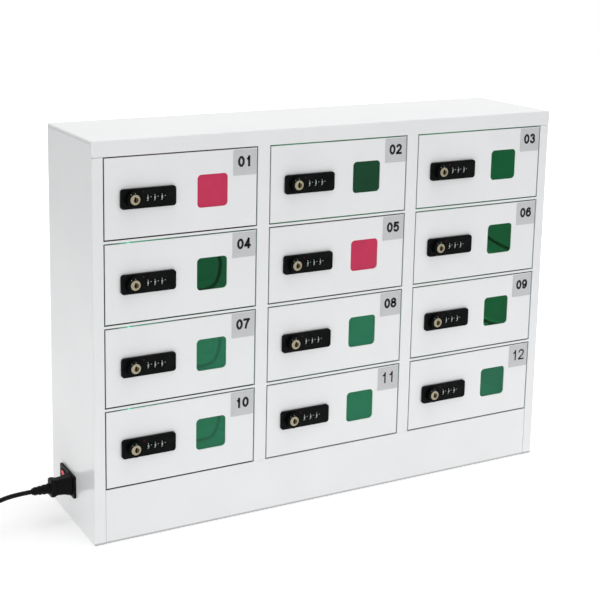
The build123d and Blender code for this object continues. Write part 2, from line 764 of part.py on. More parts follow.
def lead_coil():
    """The put-away part of the lead, as one tube in two layers of turns."""
    quarters = int(round(lead_turns * 4))
    places = [i / 4 for i in range(quarters + 1)]
    edges = []
    for here, there in zip(places, places[1:]):
        edges += two_arcs(coil_point(here), coil_heading(here), coil_point(there), coil_heading(there))
    entry = coil_point(0) - coil_heading(0) * coil_lead_in
    leave = coil_point(lead_turns) + coil_heading(lead_turns) * coil_lead_in
    edges = [Edge.make_line(entry, coil_point(0)), *edges, Edge.make_line(coil_point(lead_turns), leave)]
    path = Wire(edges)
    solid = sweep(Plane(origin=entry, z_dir=coil_heading(0)) * Circle(lead_diameter / 2), path=path)
    samples = [edge.position_at(step / 4) for edge in edges for step in range(4)]
    length = path.length
    spacing = length / len(samples)
    near = int(pi * lead_inner_radius / spacing)
    least = min((samples[i] - samples[j]).length
                for i in range(len(samples)) for j in range(i + near, len(samples)))
    print(f"lead coil: length {length:.1f}, least gap to itself {least - lead_diameter:.2f}, "
          f"volume over section times length {solid.volume / (pi * lead_diameter ** 2 / 4 * length):.5f}")
    return solid


def strain_relief():
    """A ribbed taper along +X from zero, in its own frame."""
    pitch = relief_length / relief_ribs
    solid = Rot(0, 90, 0) * Cone(relief_root_radius, relief_end_radius, relief_length,
                                 align=(Align.CENTER, Align.CENTER, Align.MIN))
    taper = (relief_end_radius - relief_root_radius) / relief_length
    for rib in range(relief_ribs):
        start = rib * pitch
        radius = relief_root_radius + taper * (start + pitch / 2)
        solid += rod_x(radius + relief_rib_height, (start, start + pitch * relief_rib_share), 0, 0)
    return solid


def lead_connector():
    """The waisted connector in the inlet, with its nose round the contacts and its strain relief."""
    sections = [Plane(origin=(relief_start + along, lead_y, inlet_height), x_dir=(0, 1, 0), z_dir=(1, 0, 0))
                * RectangleRounded(depth, height, connector_corner_radius)
                for along, depth, height in connector_sections]
    body = loft(sections, ruled=True)
    half_y, half_z = connector_nose[0] / 2, connector_nose[1] / 2
    nose = rounded_block((connector_back, connector_back + connector_nose_length),
                         (lead_y - half_y, lead_y + half_y),
                         (inlet_height - half_z, inlet_height + half_z), socket_corner_radius, Axis.X)
    connector = body + nose
    outer = left - inlet_plate_thickness
    for y, z in contact_places(outer, lead_y):
        half_y = contact_size[1] / 2 + connector_gap
        half_z = contact_size[0] / 2 + connector_gap
        connector -= block((connector_back, connector_back + wide), (y - half_y, y + half_y),
                           (z - half_z, z + half_z))
    relief = Pos(relief_start, lead_y, inlet_height - relief_drop) * Rot(0, 0, 180) * strain_relief()
    return connector + relief


def mains_plug():
    """The lead's far end: a straight three-pin plug lying behind the coil."""
    length, width, height = mains_plug_size
    body = Box(length, width, height, align=(Align.MIN, Align.CENTER, Align.CENTER))
    body = fillet(body.edges().filter_by(Axis.X), mains_plug_corner_radius)
    plug = strain_relief().mirror(Plane.YZ)
    plug = Pos(relief_length, 0, 0) * plug + Pos(relief_length, 0, 0) * body
    face = relief_length + length
    blades = [Pos(face, side * mains_blade_spread, 0)
              * Box(*mains_blade, align=(Align.MIN, Align.CENTER, Align.CENTER)) for side in (-1, 1)]
    pin = rod_x(mains_pin_radius, (face, face + mains_pin_length), 0, mains_pin_step)
    place = Pos(*tail_end)
    return [place * solid for solid in (plug, *blades, pin)]


def coil_tie():
    """The flat tie round the bundle of turns, on the coil's left."""
    hollow = lead_inner_radius + lead_pitch / 2 - lead_diameter / 2
    near = sqrt(hollow ** 2 - (tie_width / 2) ** 2) - tie_clearance
    far = coil_radius - lead_pitch / 4 + lead_diameter / 2 + tie_clearance
    high = coil_top + lead_diameter / 2 + tie_clearance
    x = (coil_centre[0] - far, coil_centre[0] - near)
    y = (coil_centre[1] - tie_width / 2, coil_centre[1] + tie_width / 2)
    outer = block((x[0] - tie_thickness, x[1] + tie_thickness), y, (0, high + tie_thickness))
    return outer - block(x, (y[0] - 1, y[1] + 1), (tie_thickness, high))


# ---------------------------------------------------------------- writing the nodes
os.makedirs("parts", exist_ok=True)

write("cabinet_wrap", [cabinet_wrap()])
write("top_panel", [top_panel()])
write("base_plinth", [plinth_panel(), base_plate()])
rack = [divider(column) for column in range(columns - 1)]
rack += [shelf(column, level) for column in range(columns) for level in range(rows + 1)]
write("compartment_rack", rack + [liner()])

door = [door_pan(), *hinge_pins()]
pane = [window_pane()]
lock = lock_solids()
knob = [knob_and_spindle(), key_plug(), cam(), cam_screw()]
led = led_bar()
cable_sets = {}
for kind, route in charging_routes.items():
    cable = tube(route, cable_diameter, f"charging cable, {kind}", 3)
    cable_sets[kind] = [grommet(), cable, usb_connector(route)]

light_bars, cables = [], []
for row in range(rows):
    for column in range(columns):
        number = row * columns + column + 1
        place = at_opening(column, row)
        write(f"door_{number:02d}", [place * solid for solid in door])
        write(f"window_{number:02d}", [place * solid for solid in pane])
        write(f"lock_{number:02d}", [place * solid for solid in lock])
        write(f"knob_{number:02d}", [place * solid for solid in knob])
        light_bars.append(place * led)
        cables += [place * solid for solid in cable_sets[route_of_door.get(number, "tucked")]]
write("led_light_bars", light_bars)
write("charging_cables", cables)

write("power_supply", [power_supply()])
write("power_inlet", power_inlet())
write("inlet_rocker", [inlet_rocker()])
lead_tube = tube(lead_route, lead_diameter, "mains lead, loose part", 5)
tail_tube = rod_x(lead_diameter / 2, (tail_start[0], tail_end[0]), tail_start[1], coil_top)
write("mains_lead", [lead_tube, tail_tube])
write("mains_lead_coil", [lead_coil()])
write("lead_ends", [lead_connector(), *mains_plug(), coil_tie()])
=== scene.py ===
"""Looks of a twelve-door phone charging locker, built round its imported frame.

The cabinet, doors, locks, knobs and inlet are the frame's own pieces with finishes made here. The
cords, their connectors and grommets, the number labels, and the locks' marks and digits are
modelled here. Metres, +X to the right, +Y to the back, +Z up.
"""

import logging
import math
from collections.abc import Callable, Iterable, Sequence
from dataclasses import dataclass
from enum import Enum

import bmesh
import bpy
from mathutils import Euler, Matrix, Vector

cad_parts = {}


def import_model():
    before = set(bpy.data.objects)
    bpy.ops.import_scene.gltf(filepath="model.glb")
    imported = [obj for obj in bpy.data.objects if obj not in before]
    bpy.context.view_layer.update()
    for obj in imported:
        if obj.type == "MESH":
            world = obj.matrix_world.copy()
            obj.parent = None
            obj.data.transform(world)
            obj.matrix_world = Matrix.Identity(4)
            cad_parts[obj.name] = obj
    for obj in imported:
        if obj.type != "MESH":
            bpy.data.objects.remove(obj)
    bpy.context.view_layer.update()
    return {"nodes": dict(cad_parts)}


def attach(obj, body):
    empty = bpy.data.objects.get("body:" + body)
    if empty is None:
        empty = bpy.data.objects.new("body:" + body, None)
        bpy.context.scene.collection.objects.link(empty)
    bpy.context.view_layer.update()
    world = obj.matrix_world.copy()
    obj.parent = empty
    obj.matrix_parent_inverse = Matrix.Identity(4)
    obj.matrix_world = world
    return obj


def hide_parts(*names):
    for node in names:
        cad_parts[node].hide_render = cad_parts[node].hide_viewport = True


logging.basicConfig(level=logging.INFO, format="%(message)s")
log = logging.getLogger("locker")

MM = 0.001
Point = tuple[float, float, float]
Colour = tuple[float, float, float]

BLACK: Colour = (0.0, 0.0, 0.0)
WHITE: Colour = (1.0, 1.0, 1.0)
ENAMEL_BLACK: Colour = (0.0026, 0.0032, 0.0032)
ZINC: Colour = (0.62, 0.64, 0.66)

STAND_UP = Euler((math.pi / 2, 0.0, 0.0)).to_matrix().to_4x4()
FACING = 0.9  # least cosine between a face's normal and the way that it looks
ALONG = 0.99  # least share of an edge's length that runs along its axis
SHARP_ANGLE = math.radians(40.0)  # least angle of an edge that is bevelled
SMOOTH_ANGLE = math.radians(35.0)  # greatest angle that is shaded smooth
MERGE_DISTANCE = 1e-7


class Status(Enum):
    """What a compartment's light says, with the colour of that light."""

    FREE = (0.012, 0.300, 0.105)
    IN_USE = (0.620, 0.020, 0.085)


class ByDoor(Enum):
    """A choice that depends on the door, with the numbers of its doors first in its value."""

    @classmethod
    def of(cls, number: int) -> "ByDoor":
        """The choice for a numbered door."""
        return next(choice for choice in cls if number in choice.doors)


class PaneLight(ByDoor):
    """A window pane's painted light: its doors, colour and cover. The colour is the compartment's
    light seen through the clear pane, darker or lighter by door.
    """

    PINK = ((1, 5), (0.600, 0.046, 0.113), 0.94)
    DARK_GREEN = ((2,), (0.011, 0.013, 0.013), 0.68)
    DEEP_GREEN = ((4,), (0.005, 0.009, 0.004), 0.60)
    GREEN = ((3, 6, 9), (0.006, 0.044, 0.010), 0.50)
    LIGHT_GREEN = ((7, 8, 10, 11, 12), (0.030, 0.145, 0.088), 0.62)

    def __init__(self, doors: tuple[int, ...], colour: Colour, cover: float) -> None:
        """Names the value's three parts."""
        self.doors, self.colour, self.cover = doors, colour, cover


class Pick(Enum):
    """What is selected in edit mode, in Blender's words."""

    FACES = "FACE"
    EDGES = "EDGE"


@dataclass(frozen=True)
class Layout:
    """The locker's sizes in metres, in the part's own names."""

    columns: int = 3
    rows: int = 4
    left: float = -345.0 * MM
    front: float = -80.0 * MM
    toe_gap: float = 2.3 * MM
    stile_width: float = 14.5 * MM
    mullion_width: float = 17.0 * MM
    rail_height: float = 3.0 * MM
    plinth_height: float = 72.0 * MM
    opening_width: float = 209.0 * MM
    opening_height: float = 103.5 * MM
    door_gap: float = 1.5 * MM
    window_centre: float = 144.0 * MM
    window_size: float = 42.0 * MM
    lock_offset: float = 20.0 * MM
    lock_drop: float = 1.2 * MM
    plate_length: float = 73.0 * MM
    plate_thickness: float = 4.0 * MM
    knob_offset: float = 16.0 * MM
    key_plug_radius: float = 6.3 * MM
    knob_front: float = -10.2 * MM
    dial_first: float = 34.8 * MM
    dial_pitch: float = 9.4 * MM
    dial_count: int = 3
    dial_radius: float = 7.0 * MM
    dial_sides: int = 10
    dial_proud: float = 0.8 * MM
    in_use: tuple[int, ...] = (1, 5)

    @property
    def pitch_x(self) -> float:
        """From one column to the next."""
        return self.opening_width + self.mullion_width

    @property
    def pitch_z(self) -> float:
        """From one row to the next."""
        return self.opening_height + self.rail_height

    @property
    def first_x(self) -> float:
        """The left edge of the first column's openings."""
        return self.left + self.stile_width

    @property
    def middle(self) -> float:
        """A door's middle height in its opening's frame."""
        return self.opening_height / 2

    @property
    def lock_middle(self) -> float:
        """The lock's middle height in an opening's frame."""
        return self.middle - self.lock_drop

    @property
    def plate_left(self) -> float:
        """The lock plate's left end in an opening's frame."""
        return self.door_gap + self.lock_offset

    @property
    def knob_x(self) -> float:
        """The knob's axis in an opening's frame."""
        return self.plate_left + self.knob_offset

    def numbers(self) -> range:
        """The door numbers, row by row from the top left."""
        return range(1, self.columns * self.rows + 1)

    @staticmethod
    def tag(number: int) -> str:
        """A door's number as it is printed and as the pieces' names end."""
        return f"{number:02d}"

    def place(self, number: int) -> tuple[int, int]:
        """A numbered door's column from the left and its row from the bottom."""
        down, column = divmod(number - 1, self.columns)
        return column, self.rows - 1 - down

    def origin(self, number: int) -> Vector:
        """The left, front, bottom corner of a numbered door's opening.

        Args:
            number: The door's number, from 1.

        Returns:
            The corner.
        """
        column, row = self.place(number)
        return Vector((self.first_x + column * self.pitch_x, self.front,
                       self.plinth_height + row * self.pitch_z))

    def status(self, number: int) -> Status:
        """Whether a numbered compartment is free or in use."""
        return Status.IN_USE if number in self.in_use else Status.FREE


LAYOUT = Layout()


# ------------------------------------------------------------------------------------- shader tools
class Value:
    """A shader socket that arithmetic turns into Math nodes."""

    def __init__(self, tree: "Tree", socket: bpy.types.NodeSocket) -> None:
        """Wraps a socket of one tree."""
        self.tree = tree
        self.socket = socket

    def math(self, operation: str, *others: "Value | float", clamp: bool = False) -> "Value":
        """Adds a Math node.

        Args:
            operation: Blender's name for the operation.
            others: The operation's other values.
            clamp: Whether the result is kept between 0 and 1.

        Returns:
            The node's result.
        """
        node = self.tree.node("ShaderNodeMath", {"operation": operation, "use_clamp": clamp},
                              dict(enumerate((self, *others))))
        return Value(self.tree, node.outputs[0])

    def __add__(self, other: "Value | float") -> "Value":
        """This plus other."""
        return self.math("ADD", other)

    __radd__ = __add__

    def __sub__(self, other: "Value | float") -> "Value":
        """This minus other."""
        return self.math("SUBTRACT", other)

    def __rsub__(self, other: float) -> "Value":
        """Other minus this."""
        return (self * -1.0) + other

    def __mul__(self, other: "Value | float") -> "Value":
        """This times other."""
        return self.math("MULTIPLY", other)

    __rmul__ = __mul__

    def __truediv__(self, other: "Value | float") -> "Value":
        """This over other."""
        return self.math("DIVIDE", other)

    def __gt__(self, other: "Value | float") -> "Value":
        """1 where this is more than other, else 0."""
        return self.math("GREATER_THAN", other)

    def __lt__(self, other: "Value | float") -> "Value":
        """1 where this is less than other, else 0."""
        return self.math("LESS_THAN", other)

    def __abs__(self) -> "Value":
        """This without its sign."""
        return self.math("ABSOLUTE")

    def floor(self) -> "Value":
        """The whole number at or below this."""
        return self.math("FLOOR")

    def either(self, other: "Value | float") -> "Value":
        """The larger of this and other."""
        return self.math("MAXIMUM", other)

    def hypot(self, other: "Value") -> "Value":
        """The distance that this and other make, at right angles."""
        return (self * self + other * other).math("SQRT")

    def ramp(self, low: float, high: float) -> "Value":
        """Rises from 0 at low to 1 at high, or falls where high is below low.

        Args:
            low: Where the ramp is 0.
            high: Where the ramp is 1.

        Returns:
            The clamped ramp.
        """
        return ((self - low) * (1.0 / (high - low))).math("MULTIPLY", 1.0, clamp=True)

    def within(self, low: float, high: float) -> "Value":
        """1 between low and high, else 0."""
        return (self > low) * (self < high)


class Tree:
    """A node tree whose nodes all come from one method."""

    def __init__(self, tree: bpy.types.NodeTree) -> None:
        """Wraps a material's or a world's own tree."""
        self.tree = tree

    def feed(self, target: bpy.types.NodeSocket, source: object) -> None:
        """Links a socket, or sets it to what is the same everywhere.

        Args:
            target: The socket that is fed.
            source: A Value or a socket to link, or a number or a colour.
        """
        source = source.socket if isinstance(source, Value) else source
        if isinstance(source, bpy.types.NodeSocket):
            self.tree.links.new(source, target)
        elif target.type == "RGBA":
            target.default_value = (*source, 1.0)
        else:
            target.default_value = source

    def node(self, kind: str, settings: dict[str, object] | None = None,
             inputs: dict[str | int, object] | None = None) -> bpy.types.Node:
        """Adds a node.

        Args:
            kind: The node's type.
            settings: Properties of the node, set first.
            inputs: What feeds its inputs, by their name or number.

        Returns:
            The new node.
        """
        node = self.tree.nodes.new(kind)
        for key, value in (settings or {}).items():
            setattr(node, key, value)
        for key, source in (inputs or {}).items():
            self.feed(node.inputs[key], source)
        return node

    def background(self, *rays: str) -> Value:
        """1 for the rays that see the background itself, else 0.

        Args:
            rays: The kinds of ray that count besides the camera's.

        Returns:
            The mask.
        """
        path = self.node("ShaderNodeLightPath")
        seen = Value(self, path.outputs["Is Camera Ray"])
        for ray in rays:
            seen = seen.either(Value(self, path.outputs[ray]))
        return seen


class Shader(Tree):
    """One material's tree: coordinates, patterns and a Principled surface."""

    def __init__(self, name: str) -> None:
        """Starts a material with an empty Principled surface.

        Args:
            name: The material's name.
        """
        self.material = bpy.data.materials.new(name)
        self.material.use_nodes = True
        super().__init__(self.material.node_tree)
        self.surface = next(n for n in self.tree.nodes if n.type == "BSDF_PRINCIPLED")
        self.position = self.node("ShaderNodeTexCoord").outputs["Object"]
        parts = self.node("ShaderNodeSeparateXYZ", {}, {0: self.position})
        self.x, self.y, self.z = (Value(self, out) for out in parts.outputs)

    def noise(self, size: float, detail: float = 2.0, roughness: float = 0.5) -> Value:
        """Cloudy noise between 0 and 1.

        Args:
            size: About how large its clouds are, in metres.
            detail: How many finer layers it has.
            roughness: How much the finer layers show.

        Returns:
            The noise.
        """
        node = self.node("ShaderNodeTexNoise", {}, {
            "Vector": self.position, "Scale": 1.0 / size, "Detail": detail, "Roughness": roughness})
        return Value(self, node.outputs["Fac"])

    def mix(self, factor: Value | float, first: Colour | bpy.types.NodeSocket,
            second: Colour | bpy.types.NodeSocket) -> bpy.types.NodeSocket:
        """Mixes two colours.

        Args:
            factor: 0 for the first colour, 1 for the second.
            first: A colour or a colour socket.
            second: A colour or a colour socket.

        Returns:
            The mixed colour's socket.
        """
        # Inputs 6 and 7 and output 2 are the node's colour sockets.
        node = self.node("ShaderNodeMix", {"data_type": "RGBA"}, {0: factor, 6: first, 7: second})
        return node.outputs[2]

    def set(self, **sockets: object) -> None:
        """Sets or links the surface's sockets.

        Args:
            sockets: What feeds each socket, by its name with underscores for spaces.
        """
        for name, source in sockets.items():
            self.feed(self.surface.inputs[name.replace("_", " ")], source)

    def bump(self, height: Value, depth: float, strength: float) -> None:
        """Raises the surface by a pattern.

        Args:
            height: The pattern, from 0 to 1.
            depth: How deep the pattern is, in metres.
            strength: How much of it shows.
        """
        raised = {"Height": height, "Distance": depth, "Strength": strength}
        self.set(Normal=self.node("ShaderNodeBump", {}, raised).outputs["Normal"])

    def depth(self) -> Value:
        """How far behind the cabinet's front, in metres."""
        return self.y - LAYOUT.front

    def cell(self) -> tuple[Value, Value, Value, Value]:
        """The place in the locker's grid.

        Returns:
            Column from the left, row from the bottom, and x and z in that opening's frame.
        """
        along = (self.x - LAYOUT.first_x) * (1.0 / LAYOUT.pitch_x)
        up = (self.z - LAYOUT.plinth_height) * (1.0 / LAYOUT.pitch_z)
        column, row = along.floor(), up.floor()
        return column, row, (along - column) * LAYOUT.pitch_x, (up - row) * LAYOUT.pitch_z

    def past_opening(self) -> tuple[Value, Value]:
        """The place round the nearest opening.

        Returns:
            How far past that opening's edges, across and up, in metres.
        """
        sides = []
        for value, first, pitch, size, count in (
                (self.x, LAYOUT.first_x, LAYOUT.pitch_x, LAYOUT.opening_width, LAYOUT.columns),
                (self.z, LAYOUT.plinth_height, LAYOUT.pitch_z, LAYOUT.opening_height, LAYOUT.rows)):
            steps = (value - (first + size / 2)) * (1.0 / pitch) + 0.5
            nearest = steps.floor().either(0.0).math("MINIMUM", float(count - 1))
            sides.append(abs((steps - nearest - 0.5) * pitch) - size / 2)
        return sides[0], sides[1]

    def in_use(self, column: Value, row: Value) -> Value:
        """Where the compartments in use are.

        Args:
            column: The column from the left.
            row: The row from the bottom.

        Returns:
            1 in a compartment in use, else 0.
        """
        found: Value | float = 0.0
        for number in LAYOUT.in_use:
            across, up = LAYOUT.place(number)
            found = column.within(across - 0.5, across + 0.5) * row.within(up - 0.5, up + 0.5) + found
        return found


@dataclass(frozen=True)
class GapShade:
    """Painted shade in the gap round a door, on the door's flange and on the frame's fold."""

    on_door: float = 0.6 * MM
    on_frame: float = 0.8 * MM
    starts: tuple[float, float] = (0.25 * MM, 1.1 * MM)
    ends: float = 12.5 * MM

    def beside(self, past: Value) -> Value:
        """1 in the gap at an opening's edge, from how far past that edge a place is."""
        return past.within(-LAYOUT.door_gap - self.on_door, self.on_frame)

    def mask(self, shader: Shader) -> Value:
        """Where the shade in the gaps round the doors is painted.

        Args:
            shader: The material's shader.

        Returns:
            1 deep in the gaps, 0 at the front and elsewhere.
        """
        past_side, past_end = shader.past_opening()
        depth = shader.depth()
        return self.beside(past_side.either(past_end)) * depth.ramp(*self.starts) * (depth < self.ends)


GAP_SHADE = GapShade()


# ----------------------------------------------------------------------------------------- finishes
class Finish:
    """A finish of the object, painted on a shader of its own."""

    def paint(self, shader: Shader) -> None:
        """Sets the surface of a new material's shader."""
        raise NotImplementedError


@dataclass(frozen=True)
class PowderCoat(Finish):
    """Gloss white powder coat with a faint orange peel, and painted shade in its gaps."""

    colour: Colour = (0.800, 0.806, 0.815)
    shade: Colour = (0.772, 0.779, 0.790)
    cloud_size: float = 90.0 * MM
    clouding: tuple[float, float] = (0.35, 0.75)
    fine_size: float = 0.5 * MM
    roughness: float = 0.30
    cloud_share: float = 0.05
    fine_share: float = 0.03
    peel_size: float = 3.2 * MM
    peel_depth: float = 0.012 * MM
    peel_share: float = 0.5
    # The gap colours are painted shade in the gaps round the doors.
    gap: Colour = (0.004, 0.040, 0.050)
    pale_gap_shade: Colour = (0.620, 0.700, 0.720)
    pale_share: float = 0.62
    upper_share: float = 0.25
    # A painted shadow line along the plinth's bottom edge, over the toe gap.
    foot_shade_line: Colour = (0.230, 0.235, 0.235)
    foot_share: float = 0.55
    foot_height: float = 0.5 * MM
    foot_depth: float = 2.0 * MM

    def lined(self, shader: Shader, coat: bpy.types.NodeSocket) -> bpy.types.NodeSocket:
        """Adds painted shade in the gaps round the doors and a painted shadow line under the plinth's
        front.

        The painted gap shade is dark at the left and the bottom of a door, and paler elsewhere and in
        the columns past the first.

        Args:
            shader: The material's shader.
            coat: The coat's colour.

        Returns:
            The colour with its lines.
        """
        _, _, u, w = shader.cell()
        right = GAP_SHADE.beside(u - LAYOUT.opening_width)
        upper = GAP_SHADE.beside(w - LAYOUT.opening_height)
        past_first = shader.x > LAYOUT.first_x + LAYOUT.pitch_x - LAYOUT.mullion_width / 2
        pale = right.either(past_first * (1.0 - upper) * self.pale_share)
        # The gaps' colour is painted shade.
        gap = shader.mix(pale.either(upper * self.upper_share), self.gap, self.pale_gap_shade)
        # Painted shadow along the plinth's front, just above the toe gap.
        foot = (shader.z < LAYOUT.toe_gap + self.foot_height) * (shader.depth() < self.foot_depth)
        return shader.mix(foot * self.foot_share, shader.mix(GAP_SHADE.mask(shader), coat, gap),
                          self.foot_shade_line)

    def paint(self, shader: Shader) -> None:
        """Paints the coat.

        Args:
            shader: The material's shader.
        """
        cloud = shader.noise(self.cloud_size, 3.0)
        fine = shader.noise(self.fine_size, 1.0)
        coat = shader.mix(cloud.ramp(*self.clouding), self.colour, self.shade)
        grain = cloud * self.cloud_share + fine * self.fine_share
        shader.set(Base_Color=self.lined(shader, coat), Roughness=grain + self.roughness,
                   Specular_IOR_Level=0.3, Coat_Weight=0.5, Coat_Roughness=0.1)
        shader.bump(shader.noise(self.peel_size), self.peel_depth, self.peel_share)


@dataclass(frozen=True)
class LitInterior(PowderCoat):
    """The compartments' coat, washed by the light bar's colour."""

    glow: float = 0.75
    dark_share: float = 0.6
    in_use_share: float = 0.05
    starts: tuple[float, float] = (14.0 * MM, 45.0 * MM)

    def paint(self, shader: Shader) -> None:
        """Paints the coat with each compartment's light on its inner faces.

        Args:
            shader: The material's shader.
        """
        super().paint(shader)
        column, row, _, w = shader.cell()
        inside = shader.depth().ramp(*self.starts)
        height = w.ramp(0.0, LAYOUT.opening_height)
        in_use = shader.in_use(column, row)
        strength = inside * (height * (1.0 - self.dark_share) + self.dark_share)
        strength = strength * (1.0 - in_use * (1.0 - self.in_use_share))
        light = shader.mix(in_use, Status.FREE.value, Status.IN_USE.value)
        shader.set(Emission_Color=shader.mix(strength, BLACK, light), Emission_Strength=self.glow)


@dataclass(frozen=True)
class DoorCoat(PowderCoat):
    """A door's coat, with the compartment's light at its window's cut edge and in its gaps."""

    status: Status = Status.FREE
    strength: float = 2.0
    behind: float = 0.05 * MM
    edge_glow: float = 0.06
    edge_reach: float = 0.02 * MM
    gap_glow: float = 0.0
    gap_light: Colour = (0.030, 0.400, 0.210)
    gap_reach: float = 0.5 * MM
    spot: float = 33.0 * MM
    spot_reach: float = 4.0 * MM
    stretch_share: float = 0.22
    rises: tuple[float, float] = (18.0 * MM, 24.0 * MM)
    fades: tuple[float, float] = (105.0 * MM, 38.0 * MM)

    def paint(self, shader: Shader) -> None:
        """Paints the coat with the light that reaches its edges.

        Args:
            shader: The material's shader.
        """
        super().paint(shader)
        _, _, u, w = shader.cell()
        behind_face = shader.depth() > self.behind
        half = LAYOUT.window_size / 2 + self.edge_reach
        centre = LAYOUT.door_gap + LAYOUT.window_centre
        beside = abs(u - centre).either(abs(w - LAYOUT.middle)) < half
        # Painted light: a glow of the compartment's light on the window's cut edge, and on the door's
        # top edge in its gap.
        edge = shader.mix(beside * behind_face * self.edge_glow, BLACK, self.status.value)
        top = w > LAYOUT.opening_height - LAYOUT.door_gap - self.gap_reach
        bright = abs(u - self.spot).ramp(self.spot_reach, 0.0)
        stretch = u.ramp(*self.rises) * u.ramp(*self.fades) * self.stretch_share
        above = top * behind_face * bright.either(stretch) * self.gap_glow
        shader.set(Emission_Color=shader.mix(above, edge, self.gap_light),
                   Emission_Strength=self.strength)


@dataclass(frozen=True)
class LitPane(Finish):
    """A clear window pane, coloured with painted light from the compartment behind it."""

    colour: Colour
    cover: float
    deep_share: float = 0.92
    cloud_size: float = 18.0 * MM
    clouding: tuple[float, float] = (0.3, 0.7)
    grain_size: float = 2.0 * MM
    grain_share: float = 0.04
    roughness: float = 0.12

    def paint(self, shader: Shader) -> None:
        """Paints polished plastic that lets part of the view through.

        Args:
            shader: The material's shader.
        """
        cloud, grain = shader.noise(self.cloud_size), shader.noise(self.grain_size)
        deep = tuple(part * self.deep_share for part in self.colour)
        # The pane's colour is painted light, with a random darker clouding.
        shader.set(Base_Color=shader.mix(cloud.ramp(*self.clouding), self.colour, deep),
                   Roughness=grain * self.grain_share + self.roughness, Alpha=self.cover,
                   Specular_IOR_Level=0.08)


@dataclass(frozen=True)
class LockEnamel(Finish):
    """Satin black enamel on the lock, and zinc on its clamp frame and screws."""

    black: Colour = ENAMEL_BLACK
    # A slightly lighter black where the enamel is worn, at random.
    wear_and_recess_shade: Colour = (0.0060, 0.0066, 0.0066)
    wear_size: float = 9.0 * MM
    wearing: tuple[float, float] = (0.35, 0.7)
    zinc: Colour = ZINC
    zinc_polish: float = 0.04
    roughness: float = 0.30
    grain_size: float = 0.35 * MM
    grain_share: float = 0.10
    grain_depth: float = 0.02 * MM
    grain_bump: float = 0.35
    body_half: tuple[float, float] = (30.65 * MM, 9.65 * MM)
    clamp_depth: float = 1.1 * MM

    def paint(self, shader: Shader) -> None:
        """Paints black in front of the door's sheet and on the body, zinc behind it.

        Args:
            shader: The material's shader.
        """
        _, _, u, w = shader.cell()
        centre = LAYOUT.plate_left + LAYOUT.plate_length / 2
        above = abs(w - LAYOUT.lock_middle) > self.body_half[1]
        outside = above.either(abs(u - centre) > self.body_half[0])
        steel = outside * (shader.depth() > self.clamp_depth)
        grain = shader.noise(self.grain_size)
        wear = shader.noise(self.wear_size).ramp(*self.wearing)
        black = shader.mix(wear, self.black, self.wear_and_recess_shade)
        rough = grain * self.grain_share + self.roughness - steel * self.zinc_polish
        shader.set(Base_Color=shader.mix(steel, black, self.zinc), Metallic=steel, Roughness=rough,
                   Specular_IOR_Level=0.04)
        shader.bump(grain, self.grain_depth, self.grain_bump)


@dataclass(frozen=True)
class KnobFinish(Finish):
    """A black knob with a nickel-brass key plug, and a zinc cam behind the door."""

    black: Colour = ENAMEL_BLACK
    zinc: Colour = ZINC
    cam_depth: float = 12.4 * MM
    roughness: float = 0.27
    grain_size: float = 0.35 * MM
    grain_share: float = 0.10
    grain_depth: float = 0.02 * MM
    grain_bump: float = 0.3
    plug: Colour = (0.42, 0.385, 0.275)
    plug_dark: Colour = (0.25, 0.225, 0.155)
    plug_margin: float = 0.02 * MM
    plug_cloud: float = 1.5 * MM
    turning_pitch: float = 0.34 * MM
    turning_share: float = 0.06
    turning_bump: float = 0.4
    # Painted shade: a dark ring at the edge of the plug's inner cylinder.
    groove_shade: tuple[float, float] = (4.9 * MM, 5.3 * MM)
    # Painted shade in the plug's hollow round the keyway, darker towards its middle.
    recess: Colour = (0.075, 0.052, 0.032)
    recess_place: tuple[float, float] = (1.0 * MM, -0.5 * MM)
    recess_radii: tuple[float, float] = (3.6 * MM, 2.9 * MM)
    # Painted shade: the keyway's inner faces are near black.
    slot: Colour = (0.010, 0.009, 0.007)
    slot_half: tuple[float, float] = (1.01 * MM, 3.52 * MM)
    slot_depths: tuple[float, float] = (-10.45 * MM, -7.45 * MM)

    def paint(self, shader: Shader) -> None:
        """Paints each metal in its place round the knob's axis, with painted shade in the keyway,
        round it and in a ring on the plug.

        Args:
            shader: The material's shader.
        """
        _, _, u, w = shader.cell()
        depth = shader.depth()
        across, up = u - LAYOUT.knob_x, w - LAYOUT.lock_middle
        radius = across.hypot(up)
        plug = (radius < LAYOUT.key_plug_radius + self.plug_margin) * (depth < self.slot_depths[1])
        slot = (abs(across) < self.slot_half[0]) * (abs(up) < self.slot_half[1])
        slot = slot * depth.within(*self.slot_depths)
        steel = depth > self.cam_depth
        rings = ((radius * (2.0 * math.pi / self.turning_pitch)).math("SINE") * 0.5 + 0.5) * plug
        shade = (rings * 0.5 + shader.noise(self.plug_cloud) * 0.5).either(radius.within(*self.groove_shade))
        aside, above = across - self.recess_place[0], up - self.recess_place[1]
        wear_and_recess_shade = aside.hypot(above).ramp(*self.recess_radii)
        brass = shader.mix(wear_and_recess_shade, shader.mix(shade, self.plug, self.plug_dark), self.recess)
        metal = shader.mix(slot, shader.mix(steel, brass, self.zinc), self.slot)
        grain = shader.noise(self.grain_size)
        rough = grain * self.grain_share + self.roughness + rings * self.turning_share
        shader.set(Base_Color=shader.mix(plug.either(steel), self.black, metal),
                   Metallic=plug.either(steel) * (1.0 - slot), Roughness=rough,
                   Specular_IOR_Level=0.04)
        shader.bump(grain + rings * self.turning_bump, self.grain_depth, self.grain_bump)


